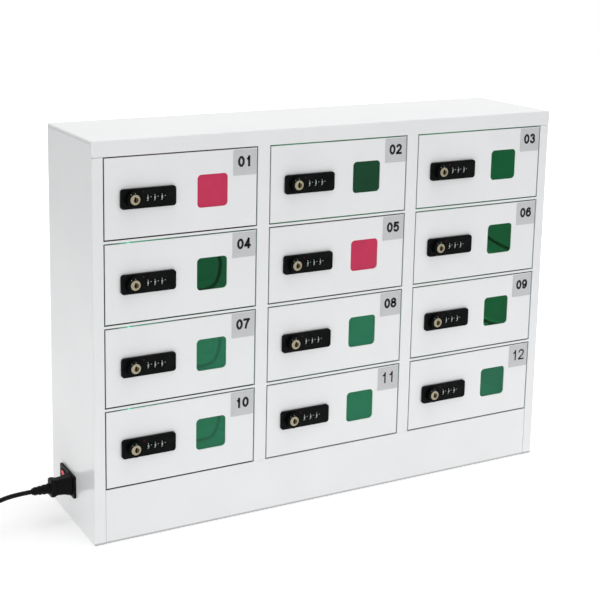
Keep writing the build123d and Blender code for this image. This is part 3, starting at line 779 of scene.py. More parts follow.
@dataclass(frozen=True)
class Moulding(Finish):
    """Fine-textured plastic or rubber, black unless it says otherwise."""

    colour: Colour = (0.0040, 0.0040, 0.0043)
    dusty: Colour = (0.0070, 0.0070, 0.0075)
    dust_size: float = 14.0 * MM
    dusting: tuple[float, float] = (0.4, 0.75)
    grain_size: float = 0.45 * MM
    grain_share: float = 0.12
    depth: float = 0.03 * MM
    grain_bump: float = 0.5
    roughness: float = 0.42

    def paint(self, shader: Shader) -> None:
        """Paints the plain moulding.

        Args:
            shader: The material's shader.
        """
        grain = shader.noise(self.grain_size, 3.0)
        dust = shader.noise(self.dust_size).ramp(*self.dusting)
        shader.set(Base_Color=shader.mix(dust, self.colour, self.dusty),
                   Roughness=grain * self.grain_share + self.roughness, Specular_IOR_Level=0.08)
        shader.bump(grain, self.depth, self.grain_bump)


@dataclass(frozen=True)
class LeadMoulding(Moulding):
    """The lead's black mouldings, with nickel blades at the plug."""

    nickel: Colour = (0.66, 0.62, 0.55)
    nickel_polish: float = 0.14
    blades_from: float = -456.2 * MM
    plug_side: float = 60.0 * MM

    def paint(self, shader: Shader) -> None:
        """Paints nickel past the plug's face, black elsewhere.

        Args:
            shader: The material's shader.
        """
        super().paint(shader)
        blade = (shader.x > self.blades_from) * (shader.y > self.plug_side)
        grain = shader.noise(self.grain_size)
        rough = grain * self.grain_share + self.roughness - blade * self.nickel_polish
        shader.set(Base_Color=shader.mix(blade, self.colour, self.nickel), Metallic=blade,
                   Roughness=rough)


@dataclass(frozen=True)
class RockerFinish(Moulding):
    """A black rocker with a lit oval of red on its face."""

    red: Colour = (0.62, 0.012, 0.028)
    red_polish: float = 0.16
    strength: float = 0.42
    centre: tuple[float, float] = (29.0 * MM, 56.3 * MM)
    half: tuple[float, float] = (5.8 * MM, 2.9 * MM)
    edge: tuple[float, float] = (1.08, 0.92)
    face: float = -347.5 * MM

    def paint(self, shader: Shader) -> None:
        """Paints red inside the oval, black round it.

        Args:
            shader: The material's shader.
        """
        super().paint(shader)
        across = (shader.y - self.centre[0]) / self.half[0]
        up = (shader.z - self.centre[1]) / self.half[1]
        oval = across.hypot(up).ramp(*self.edge) * (shader.x < self.face)
        grain = shader.noise(self.grain_size)
        rough = grain * self.grain_share + self.roughness - oval * self.red_polish
        shader.set(Base_Color=shader.mix(oval, self.colour, self.red), Roughness=rough,
                   Emission_Color=shader.mix(oval, BLACK, self.red),
                   Emission_Strength=self.strength)


@dataclass(frozen=True)
class LightBar(Finish):
    """The light bar's milky lens, in its compartment's colour."""

    lens: Colour = (0.62, 0.66, 0.64)
    strength: float = 2.0
    in_use_share: float = 0.05
    lamp_pitch: float = 10.0 * MM
    lamp_share: float = 0.25
    roughness: float = 0.3
    grain_size: float = 1.0 * MM
    grain_share: float = 0.1

    def paint(self, shader: Shader) -> None:
        """Paints a lens with brighter spots where its lamps are.

        Args:
            shader: The material's shader.
        """
        column, row, u, _ = shader.cell()
        wave = (u * (2.0 * math.pi / self.lamp_pitch)).math("SINE")
        spots = wave * self.lamp_share + (1.0 - self.lamp_share)
        dimmed = tuple(part * self.in_use_share for part in Status.IN_USE.value)
        light = shader.mix(shader.in_use(column, row), Status.FREE.value, dimmed)
        rough = shader.noise(self.grain_size) * self.grain_share + self.roughness
        shader.set(Base_Color=self.lens, Roughness=rough,
                   Emission_Color=shader.mix(spots, BLACK, light), Emission_Strength=self.strength)


@dataclass(frozen=True)
class Speckled(Finish):
    """A printed or painted face with a fine speckle."""

    colour: Colour
    speck: Colour
    speck_size: float = 0.55 * MM
    specking: tuple[float, float] = (0.42, 0.62)
    roughness: float = 0.42
    speck_share: float = 0.1
    speck_depth: float = 0.01 * MM
    speck_bump: float = 0.25

    def paint(self, shader: Shader) -> None:
        """Paints the face with its speckle in colour and gloss.

        Args:
            shader: The material's shader.
        """
        speckle = shader.noise(self.speck_size, 4.0, 0.7)
        shader.set(Base_Color=shader.mix(speckle.ramp(*self.specking), self.colour, self.speck),
                   Roughness=speckle * self.speck_share + self.roughness, Specular_IOR_Level=0.1)
        shader.bump(speckle, self.speck_depth, self.speck_bump)


@dataclass(frozen=True)
class Brushed(Finish):
    """Bright plated metal with a fine grain."""

    colour: Colour = (0.66, 0.66, 0.67)
    dark_share: float = 0.85
    grain_size: float = 0.3 * MM
    grain_share: float = 0.15
    roughness: float = 0.2

    def paint(self, shader: Shader) -> None:
        """Paints metal with a grain in its colour and roughness.

        Args:
            shader: The material's shader.
        """
        grain = shader.noise(self.grain_size, 3.0)
        dark = tuple(part * self.dark_share for part in self.colour)
        shader.set(Base_Color=shader.mix(grain, self.colour, dark), Metallic=1.0,
                   Roughness=grain * self.grain_share + self.roughness)


class Finishes:
    """Makes each finish's material once and puts it on pieces."""

    def __init__(self) -> None:
        """Starts with no material made."""
        self.made: dict[str, bpy.types.Material] = {}

    def dress(self, piece: bpy.types.Object, name: str, finish: Finish) -> None:
        """Gives a piece one finish in all its slots.

        Args:
            piece: The piece.
            name: The material's name.
            finish: What paints the material on its first use.
        """
        if name not in self.made:
            shader = Shader(name)
            finish.paint(shader)
            self.made[name] = shader.material
        if not piece.material_slots:
            piece.data.materials.append(self.made[name])
        for slot in piece.material_slots:
            slot.material = self.made[name]


# ---------------------------------------------------------------------------------------- modelling
class Bench:
    """The modelling operators, each on a clean selection."""

    @staticmethod
    def clear() -> None:
        """Deselects everything."""
        if bpy.context.mode != "OBJECT":
            bpy.ops.object.mode_set(mode="OBJECT")
        bpy.ops.object.select_all(action="DESELECT")

    @staticmethod
    def take(piece: bpy.types.Object) -> bpy.types.Object:
        """Selects one piece alone and makes it active.

        Args:
            piece: The piece.

        Returns:
            The same piece.
        """
        Bench.clear()
        piece.select_set(True)
        bpy.context.view_layer.objects.active = piece
        return piece

    @staticmethod
    def add(name: str, data: bpy.types.ID) -> bpy.types.Object:
        """Adds an object to the scene.

        Args:
            name: The object's name.
            data: The curve, camera or light that it holds.

        Returns:
            The object.
        """
        piece = bpy.data.objects.new(name, data)
        bpy.context.scene.collection.objects.link(piece)
        return piece

    @staticmethod
    def block(name: str, low: Point, high: Point) -> bpy.types.Object:
        """A block between two corners, with its place in its mesh.

        Args:
            name: The piece's name.
            low: The lowest corner.
            high: The highest corner.

        Returns:
            The block, active and selected.
        """
        Bench.clear()
        bpy.ops.mesh.primitive_cube_add(size=1.0)
        piece = bpy.context.object
        piece.name = name
        size = [b - a for a, b in zip(low, high)]
        middle = [(a + b) / 2 for a, b in zip(low, high)]
        piece.data.transform(Matrix.Translation(middle) @ Matrix.Diagonal((*size, 1.0)))
        return piece

    @staticmethod
    def disc(name: str, radius: float, low: float, high: float, sides: int) -> bpy.types.Object:
        """A round block along Y from low to high, on the Y axis.

        Args:
            name: The piece's name.
            radius: Its radius.
            low: Its front in Y.
            high: Its back in Y.
            sides: How many sides its circle has.

        Returns:
            The block, active and selected.
        """
        Bench.clear()
        bpy.ops.mesh.primitive_cylinder_add(vertices=sides, radius=radius, depth=high - low)
        piece = bpy.context.object
        piece.name = name
        piece.data.transform(Matrix.Translation((0.0, (low + high) / 2, 0.0)) @ STAND_UP)
        return piece

    @staticmethod
    def select(piece: bpy.types.Object, pick: Pick,
               wanted: Callable[[bmesh.types.BMFace | bmesh.types.BMEdge], bool]) -> None:
        """Enters edit mode with only the wanted faces or edges selected.

        Args:
            piece: The piece to edit.
            pick: Faces or edges.
            wanted: Tells of a face or an edge whether it is selected.
        """
        Bench.take(piece)
        bpy.ops.object.mode_set(mode="EDIT")
        bpy.ops.mesh.select_mode(type=pick.value)
        bpy.ops.mesh.select_all(action="DESELECT")
        mesh = bmesh.from_edit_mesh(piece.data)
        mesh.normal_update()
        for item in mesh.faces if pick is Pick.FACES else mesh.edges:
            item.select_set(bool(wanted(item)))
        mesh.select_flush_mode()
        bmesh.update_edit_mesh(piece.data)

    @staticmethod
    def select_facing(piece: bpy.types.Object, way: Point) -> None:
        """Enters edit mode with only the faces that look one way selected."""
        Bench.select(piece, Pick.FACES, lambda face: face.normal.dot(Vector(way)) > FACING)

    @staticmethod
    def done() -> None:
        """Leaves edit mode."""
        bpy.ops.object.mode_set(mode="OBJECT")

    @staticmethod
    def push(inset: float, move: Point) -> None:
        """Insets the selected faces, and extrudes what is left of them by a move."""
        bpy.ops.mesh.inset(thickness=inset)
        bpy.ops.mesh.extrude_region_move(TRANSFORM_OT_translate={"value": move})

    @staticmethod
    def raise_front(piece: bpy.types.Object, inset: float, rise: float) -> None:
        """Lifts the front face a little, inside a sloping edge.

        Args:
            piece: The piece to edit.
            inset: The sloping edge's width.
            rise: How far the front moves forward.
        """
        Bench.select_facing(piece, (0.0, -1.0, 0.0))
        bpy.ops.mesh.inset(thickness=inset)
        bpy.ops.transform.translate(value=(0.0, -rise, 0.0))
        Bench.done()

    @staticmethod
    def round_edges(piece: bpy.types.Object, width: float, axis: int, segments: int = 4) -> None:
        """Rounds the edges that run along one axis.

        Args:
            piece: The piece to edit.
            width: The rounding's radius.
            axis: 0, 1 or 2.
            segments: How many steps the rounding has.
        """
        def along(edge: bmesh.types.BMEdge) -> bool:
            """Whether an edge runs along the axis."""
            run = edge.verts[1].co - edge.verts[0].co
            return run.length > 0 and abs(run[axis]) > ALONG * run.length

        Bench.select(piece, Pick.EDGES, along)
        bpy.ops.mesh.bevel(offset=width, segments=segments, affect="EDGES")
        Bench.done()

    @staticmethod
    def smooth(piece: bpy.types.Object) -> None:
        """Smooths the shading of all but the sharp edges."""
        Bench.take(piece)
        bpy.ops.object.shade_smooth_by_angle(angle=SMOOTH_ANGLE)

    @staticmethod
    def soften(piece: bpy.types.Object, width: float, segments: int = 2) -> None:
        """Bevels every sharp edge with a modifier that is applied, and smooths the shading.

        Args:
            piece: The piece to finish.
            width: The bevel's width.
            segments: The bevel's steps.
        """
        Bench.take(piece)
        bevel = piece.modifiers.new("soft_edges", "BEVEL")
        bevel.width = width
        bevel.segments = segments
        bevel.limit_method = "ANGLE"
        bevel.angle_limit = SHARP_ANGLE
        bpy.ops.object.modifier_apply(modifier=bevel.name)
        Bench.smooth(piece)

    @staticmethod
    def join(pieces: Sequence[bpy.types.Object], name: str) -> bpy.types.Object:
        """Joins pieces into the first of them.

        Args:
            pieces: The pieces, all meshes.
            name: The joined piece's name.

        Returns:
            The joined piece.
        """
        Bench.clear()
        for piece in pieces:
            piece.select_set(True)
        bpy.context.view_layer.objects.active = pieces[0]
        if len(pieces) > 1:
            bpy.ops.object.join()
        pieces[0].name = name
        pieces[0].data.name = name
        return pieces[0]

    @staticmethod
    def copy(piece: bpy.types.Object, name: str, place: Matrix) -> bpy.types.Object:
        """A copy with its own mesh, moved by a matrix in its mesh.

        Args:
            piece: The original.
            name: The copy's name.
            place: The matrix.

        Returns:
            The copy.
        """
        twin = piece.copy()
        twin.data = piece.data.copy()
        twin.data.transform(place)
        twin.name = name
        twin.data.name = name
        bpy.context.scene.collection.objects.link(twin)
        return twin

    @staticmethod
    def drop(pieces: Iterable[bpy.types.Object]) -> None:
        """Deletes the originals that copies were made of."""
        for piece in pieces:
            bpy.data.objects.remove(piece)


@dataclass(frozen=True)
class Stroke:
    """One pen stroke of a digit, in a box from -1 to 1 both ways."""

    points: tuple[tuple[float, float], ...]
    straight: bool = False
    closed: bool = False


@dataclass(frozen=True)
class Digits:
    """Printed digits drawn with a broad pen, as thin meshes.

    The sizes after the height are shares of it.
    """

    height: float
    pen: float = 0.195
    width: float = 0.68
    advance: float = 0.78
    thick: float = 0.06 * MM

    LOOP_OF_SIX = ((0.9, 0.55), (0.55, 0.93), (0.05, 1.0), (-0.7, 0.7), (-1.0, -0.05), (-0.85, -0.7),
                   (0.0, -1.0), (0.8, -0.75), (1.0, -0.33), (0.75, 0.1), (0.05, 0.28), (-0.7, 0.05),
                   (-0.95, -0.3))
    STROKES = {
        "0": (Stroke(((0.0, 1.0), (-0.78, 0.62), (-1.0, 0.0), (-0.78, -0.62), (0.0, -1.0),
                      (0.78, -0.62), (1.0, 0.0), (0.78, 0.62)), closed=True),),
        "1": (Stroke(((0.25, 1.0), (0.25, -1.0)), straight=True),
              Stroke(((0.25, 0.9), (-0.1, 0.62), (-0.65, 0.42)))),
        "2": (Stroke(((-0.95, 0.45), (-0.6, 0.88), (0.0, 1.0), (0.75, 0.8), (0.95, 0.45),
                      (0.6, -0.05), (-0.3, -0.55), (-0.9, -1.0))),
              Stroke(((-0.9, -1.0), (1.0, -1.0)), straight=True)),
        "3": (Stroke(((-0.95, 0.5), (-0.6, 0.9), (0.0, 1.0), (0.7, 0.8), (0.85, 0.5), (0.6, 0.2),
                      (-0.1, 0.08))),
              Stroke(((-0.1, 0.08), (0.65, -0.02), (1.0, -0.45), (0.7, -0.87), (0.0, -1.0),
                      (-0.65, -0.87), (-1.0, -0.45)))),
        "4": (Stroke(((0.45, -1.0), (0.45, 1.0)), straight=True),
              Stroke(((0.45, 1.0), (-1.0, -0.5)), straight=True),
              Stroke(((-1.0, -0.5), (1.0, -0.5)), straight=True)),
        "5": (Stroke(((0.85, 1.0), (-0.65, 1.0)), straight=True),
              Stroke(((-0.65, 1.0), (-0.85, 0.05)), straight=True),
              Stroke(((-0.85, 0.05), (-0.3, 0.3), (0.2, 0.33), (0.8, 0.1), (1.0, -0.33),
                      (0.7, -0.85), (0.0, -1.0), (-0.65, -0.87), (-1.0, -0.5)))),
        "6": (Stroke(LOOP_OF_SIX),),
        "7": (Stroke(((-1.0, 1.0), (1.0, 1.0)), straight=True),
              Stroke(((1.0, 1.0), (0.35, 0.3), (-0.15, -0.4), (-0.4, -1.25)))),
        "8": (Stroke(((0.0, 1.0), (-0.75, 0.78), (-0.8, 0.4), (0.0, 0.1), (0.8, 0.4), (0.75, 0.78)),
                     closed=True),
              Stroke(((0.0, 0.1), (-0.85, -0.15), (-0.95, -0.65), (0.0, -1.0), (0.95, -0.65),
                      (0.85, -0.15)), closed=True)),
        "9": (Stroke(tuple((-x, -y) for x, y in LOOP_OF_SIX)),),
    }

    def pen_stroke(self, stroke: Stroke, shift: float) -> bpy.types.Object:
        """Draws one stroke as a flat bar along its line, in the XY plane.

        Args:
            stroke: The stroke.
            shift: The digit's centre in X.

        Returns:
            The bar's mesh.
        """
        pen = self.pen * self.height
        reach_x, reach_y = (self.width * self.height - pen) / 2, (self.height - pen) / 2
        line = [Vector((x * reach_x + shift, y * reach_y, 0.0)) for x, y in stroke.points]
        if stroke.straight:
            ahead = (line[-1] - line[0]).normalized() * pen / 2
            line = [line[0] - ahead, line[-1] + ahead]
        data = bpy.data.curves.new("pen_stroke", "CURVE")
        data.dimensions = "3D"
        data.twist_mode = "Z_UP"
        data.resolution_u = 6
        data.extrude = self.thick / 2
        spline = data.splines.new("BEZIER")
        spline.bezier_points.add(len(line) - 1)
        handle = "VECTOR" if stroke.straight else "AUTO"
        for control, point in zip(spline.bezier_points, line):
            control.co = point
            control.handle_left_type = handle
            control.handle_right_type = handle
        spline.use_cyclic_u = stroke.closed
        Bench.take(Bench.add("pen_stroke", data))
        bpy.ops.object.convert(target="MESH")
        piece = bpy.context.object
        broad = piece.modifiers.new("broad", "SOLIDIFY")
        broad.thickness = pen
        broad.offset = 0.0
        broad.use_even_offset = True
        bpy.ops.object.modifier_apply(modifier=broad.name)
        return piece

    def write(self, name: str, text: str) -> bpy.types.Object:
        """Prints digits centred on zero and facing the front.

        Args:
            name: The piece's name.
            text: The digits.

        Returns:
            The mesh.
        """
        first = -(len(text) - 1) / 2
        strokes = [self.pen_stroke(stroke, (first + i) * self.advance * self.height)
                   for i, digit in enumerate(text) for stroke in self.STROKES[digit]]
        piece = Bench.join(strokes, name)
        piece.data.transform(STAND_UP)
        Bench.take(piece)
        bpy.ops.object.mode_set(mode="EDIT")
        bpy.ops.mesh.select_all(action="SELECT")
        bpy.ops.mesh.remove_doubles(threshold=MERGE_DISTANCE)
        bpy.ops.mesh.normals_make_consistent(inside=False)
        Bench.done()
        return piece


# --------------------------------------------------------------------------------- the photo's view
@dataclass(frozen=True)
class Viewpoint:
    """The camera at the photograph's place, from the fitted pinhole."""

    place: Point = (-875.8 * MM, -1510.0 * MM, 766.7 * MM)
    turn: Point = (78.959, -0.735, -27.312)
    lens: float = 78.01
    shift: tuple[float, float] = (0.0833, -0.2)

    def build(self) -> None:
        """Makes the camera and hands it to the scene."""
        data = bpy.data.cameras.new("photo_camera")
        data.lens = self.lens
        data.shift_x, data.shift_y = self.shift
        camera = Bench.add("photo_camera", data)
        camera.location = self.place
        camera.rotation_euler = [math.radians(angle) for angle in self.turn]
        bpy.context.scene.camera = camera


# -------------------------------------------------------------------------------------------- cords
class Drape(ByDoor):
    """How a charging cable hangs: its doors, its length in metres and its route.

    The route runs from the back wall to the connector, in millimetres in the opening's frame.
    """

    DRAPED = ((4, 7, 10), 0.192, (
        (172, 138, 72), (172, 124, 72), (181, 109, 68), (194, 96, 57), (201, 88, 43), (198, 85, 25),
        (190, 84, 8), (175, 89, 2.6), (156, 98, 2.35), (136, 103, 2.35), (118, 106, 2.35),
        (101, 108, 2.35)))
    SWAG = ((6,), 0.191, (
        (172, 138, 72), (172, 123, 72), (172, 106, 64), (173, 89, 50), (181, 70, 33), (192, 56, 25),
        (201, 44, 20), (206, 34, 12), (202, 26, 6), (190, 22, 2.35), (173, 21, 2.35),
        (157, 25, 2.35)))
    LOW = ((9,), 0.200, (
        (172, 138, 72), (172, 124, 71), (171, 112, 60), (170, 103, 45), (171, 93, 30),
        (176, 80, 17), (185, 67, 10), (195, 56, 8), (205, 47, 9.5), (211.5, 38, 10),
        (212.5, 28, 8.5), (207.5, 19, 5.5), (198, 14, 3), (185, 12.5, 2.35), (170, 14, 2.35)))
    TUCKED = ((1, 2, 3, 5, 8, 11, 12), 0.168, (
        (172, 138, 72), (172, 124.5, 71.5), (167, 115, 63), (161, 112, 48), (154, 113, 31),
        (144, 115, 15), (130, 117, 5), (112, 117, 2.35), (94, 113, 2.35), (79, 103, 2.35),
        (70, 89, 2.35)))

    def __init__(self, doors: tuple[int, ...], length: float, route: tuple[Point, ...]) -> None:
        """Names the value's three parts."""
        self.doors, self.length, self.route = doors, length, route


@dataclass
class Cords:
    """The mains lead and the twelve charging cables, with what is on their ends."""

    finishes: Finishes
    lead_diameter: float = 6.0 * MM
    lead_length: float = 1.794
    lead_y: float = 4.0 * MM
    lead_floor: float = 3.8 * MM
    lead_route: tuple[tuple[float, float], ...] = (
        (-399, 49.5), (-417, 49.5), (-437, 47.4), (-456, 41.2), (-474, 29.8), (-488, 17.4),
        (-499.5, 8.0), (-511.5, 3.8), (-524, 3.8))
    coil_turns: float = 7.5
    coil_inner: float = 22.2 * MM
    coil_pitch: float = 6.6 * MM
    coil_steps: int = 24
    coil_x: float = -530.0 * MM
    coil_lead_in: float = 6.0 * MM
    climb_turns: float = 0.5
    tail_length: float = 14.0 * MM
    cable_diameter: float = 4.5 * MM
    wall_depth: float = 140.0 * MM
    grip: Point = (22.0 * MM, 10.0 * MM, 6.0 * MM)
    grip_corner: float = 1.8 * MM
    grip_rim: float = 1.0 * MM
    grip_cup: float = 0.8 * MM
    grip_soft: float = 0.35 * MM
    grip_lift: float = 0.1 * MM
    tip: Point = (8.0 * MM, 8.0 * MM, 2.6 * MM)
    tip_sunk: float = 0.2 * MM
    tip_corner: float = 1.1 * MM
    tip_rim: float = 0.4 * MM
    tip_bore: float = 5.0 * MM
    tip_soft: float = 0.12 * MM
    grommet_radius: float = 8.0 * MM
    grommet_back: float = 2.0 * MM
    grommet_sides: int = 48
    lip_width: float = 0.9 * MM
    lip_rise: float = 1.2 * MM
    lip_rim: float = 0.75 * MM
    lip_bore: float = 1.8 * MM
    lip_soft: float = 0.4 * MM
    lead_jacket: Moulding = Moulding(roughness=0.36, depth=0.015 * MM)
    # A paler, painted-lit copy of the black jacket for the draped cables.
    lit_pale_jacket: Moulding = Moulding((0.42, 0.31, 0.30), (0.36, 0.27, 0.26), roughness=0.5)
    dark_jacket: Moulding = Moulding((0.009, 0.008, 0.008), (0.013, 0.012, 0.012), roughness=0.5)
    cable_grip: Moulding = Moulding(roughness=0.38)

    @staticmethod
    def curve(name: str, points: Sequence[Sequence[float]], diameter: float) -> bpy.types.Object:
        """A round cord on one smooth spline through a route's control points.

        Args:
            name: The piece's name.
            points: The route, in metres.
            diameter: The cord's diameter.

        Returns:
            The curve.
        """
        data = bpy.data.curves.new(name, "CURVE")
        data.dimensions = "3D"
        data.bevel_depth = diameter / 2
        data.bevel_resolution = 5
        data.use_fill_caps = True
        data.resolution_u = 6
        spline = data.splines.new("NURBS")
        spline.points.add(len(points) - 1)
        for control, point in zip(spline.points, points):
            control.co = (*point, 1.0)
        spline.order_u = 3
        spline.use_endpoint_u = True
        return Bench.add(name, data)

    def coil_points(self) -> list[Point]:
        """The wound part: spiral in, climb halfway through, spiral out a layer up.

        Returns:
            The points of the winding and of the tail to the plug.
        """
        outer = self.coil_inner + self.coil_pitch * self.coil_turns / 2
        centre_y = self.lead_y + outer
        points = []
        for step in range(1, round(self.coil_turns * self.coil_steps)):
            turn = step / self.coil_steps
            past_half = turn - self.coil_turns / 2
            radius = self.coil_inner + self.coil_pitch * abs(past_half)
            climb = min(max((past_half + self.climb_turns / 2) / self.climb_turns, 0.0), 1.0)
            angle = -math.pi / 2 - 2 * math.pi * turn
            points.append((self.coil_x + radius * math.cos(angle), centre_y + radius * math.sin(angle),
                           self.lead_floor + self.coil_pitch * climb))
        far_y = centre_y + outer
        top = self.lead_floor + self.coil_pitch
        tail = self.coil_x + self.coil_lead_in
        return points + [(x, far_y, top) for x in (self.coil_x, tail, tail + self.tail_length)]

    def mains_lead(self) -> None:
        """The lead from the inlet's connector, along the floor and round its coil to the plug."""
        route = [(x * MM, self.lead_y, z * MM) for x, z in self.lead_route]
        points = route + [(self.coil_x, self.lead_y, self.lead_floor)] + self.coil_points()
        lead = self.curve("mains_lead_cord", points, self.lead_diameter)
        self.finishes.dress(lead, "lead_jacket", self.lead_jacket)
        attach(lead, "cabinet")
        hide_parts("mains_lead", "mains_lead_coil")
        log.info("mains lead: %d control points", len(points))

    def connector(self) -> bpy.types.Object:
        """A charging connector along +X from zero: a moulded grip with a bright tip.

        Returns:
            The connector, dressed.
        """
        length, width, height = self.grip
        grip = Bench.block("grip", (0.0, -width / 2, -height / 2), (length, width / 2, height / 2))
        Bench.round_edges(grip, self.grip_corner, 0)
        Bench.select_facing(grip, (-1.0, 0.0, 0.0))
        Bench.push(self.grip_rim, (self.grip_cup, 0.0, 0.0))
        Bench.done()
        Bench.soften(grip, self.grip_soft)
        reach, across, thick = self.tip
        tip = Bench.block("tip", (length - self.tip_sunk, -across / 2, -thick / 2),
                          (length + reach, across / 2, thick / 2))
        Bench.round_edges(tip, self.tip_corner, 0)
        Bench.select_facing(tip, (1.0, 0.0, 0.0))
        Bench.push(self.tip_rim, (-self.tip_bore, 0.0, 0.0))
        Bench.done()
        Bench.soften(tip, self.tip_soft)
        self.finishes.dress(grip, "cable_grip", self.cable_grip)
        self.finishes.dress(tip, "bright_tip", Brushed())
        return Bench.join([grip, tip], "charging_connector")

    def grommet(self) -> bpy.types.Object:
        """The rubber grommet round a cable's hole: a domed lip with a bore.

        Returns:
            The grommet, dressed, with its seat on the wall at Y zero.
        """
        disc = Bench.disc("grommet", self.grommet_radius, -self.grommet_back, 0.0, self.grommet_sides)
        Bench.select_facing(disc, (0.0, -1.0, 0.0))
        shoulder = self.grommet_radius - self.cable_diameter / 2 - self.lip_width
        Bench.push(shoulder, (0.0, -self.lip_rise, 0.0))
        Bench.push(self.lip_rim, (0.0, self.lip_bore, 0.0))
        Bench.done()
        Bench.soften(disc, self.lip_soft, segments=3)
        self.finishes.dress(disc, "cable_grip", self.cable_grip)
        return disc

    def charging_cable(self, number: int, connector: bpy.types.Object,
                       grommet: bpy.types.Object) -> None:
        """A compartment's cable, from its grommet to its connector on the floor.

        Args:
            number: The compartment's door.
            connector: The connector to copy.
            grommet: The grommet to copy.
        """
        drape, origin, tag = Drape.of(number), LAYOUT.origin(number), LAYOUT.tag(number)
        points = [origin + Vector(point) * MM for point in drape.route]
        cable = self.curve(f"charging_cable_{tag}", points, self.cable_diameter)
        # The draped cables get the paler copy of the jacket, painted as if lit.
        if drape is Drape.DRAPED:
            self.finishes.dress(cable, "draped_lit_jacket", self.lit_pale_jacket)
        else:
            self.finishes.dress(cable, "dark_jacket", self.dark_jacket)
        ahead = points[-1] - points[-2]
        turn = Matrix.Rotation(math.atan2(ahead.y, ahead.x), 4, "Z")
        end = Vector((points[-1].x, points[-1].y, origin.z + self.grip[2] / 2 + self.grip_lift))
        plug = Bench.copy(connector, f"charging_connector_{tag}", Matrix.Translation(end) @ turn)
        seat = Vector((points[0].x, origin.y + self.wall_depth, points[0].z))
        lip = Bench.copy(grommet, f"cable_grommet_{tag}", Matrix.Translation(seat))
        for piece in (cable, plug, lip):
            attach(piece, "cabinet")
            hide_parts("charging_cables")

    def build(self) -> None:
        """All the cords."""
        self.mains_lead()
        connector, grommet = self.connector(), self.grommet()
        for number in LAYOUT.numbers():
            self.charging_cable(number, connector, grommet)
        Bench.drop([connector, grommet])
        log.info("charging cables: %d", len(LAYOUT.numbers()))


# ------------------------------------------------------------------------------------------ cabinet
@dataclass
class Cabinet:
    """The sheet-steel cabinet: wrap, lid, plinth, rack of compartments and its light bars."""

    nodes: dict[str, bpy.types.Object]
    finishes: Finishes
    supply_case: Moulding = Moulding(colour=(0.030, 0.030, 0.033), grain_size=0.8 * MM)

    def build(self) -> None:
        """Dresses the fixed pieces."""
        for name in ("cabinet_wrap", "top_panel", "base_plinth"):
            self.finishes.dress(self.nodes[name], "white_coat", PowderCoat())
        self.finishes.dress(self.nodes["compartment_rack"], "lit_interior", LitInterior())
        self.finishes.dress(self.nodes["led_light_bars"], "light_bar_lens", LightBar())
        self.finishes.dress(self.nodes["power_supply"], "supply_case", self.supply_case)
        log.info("cabinet dressed")


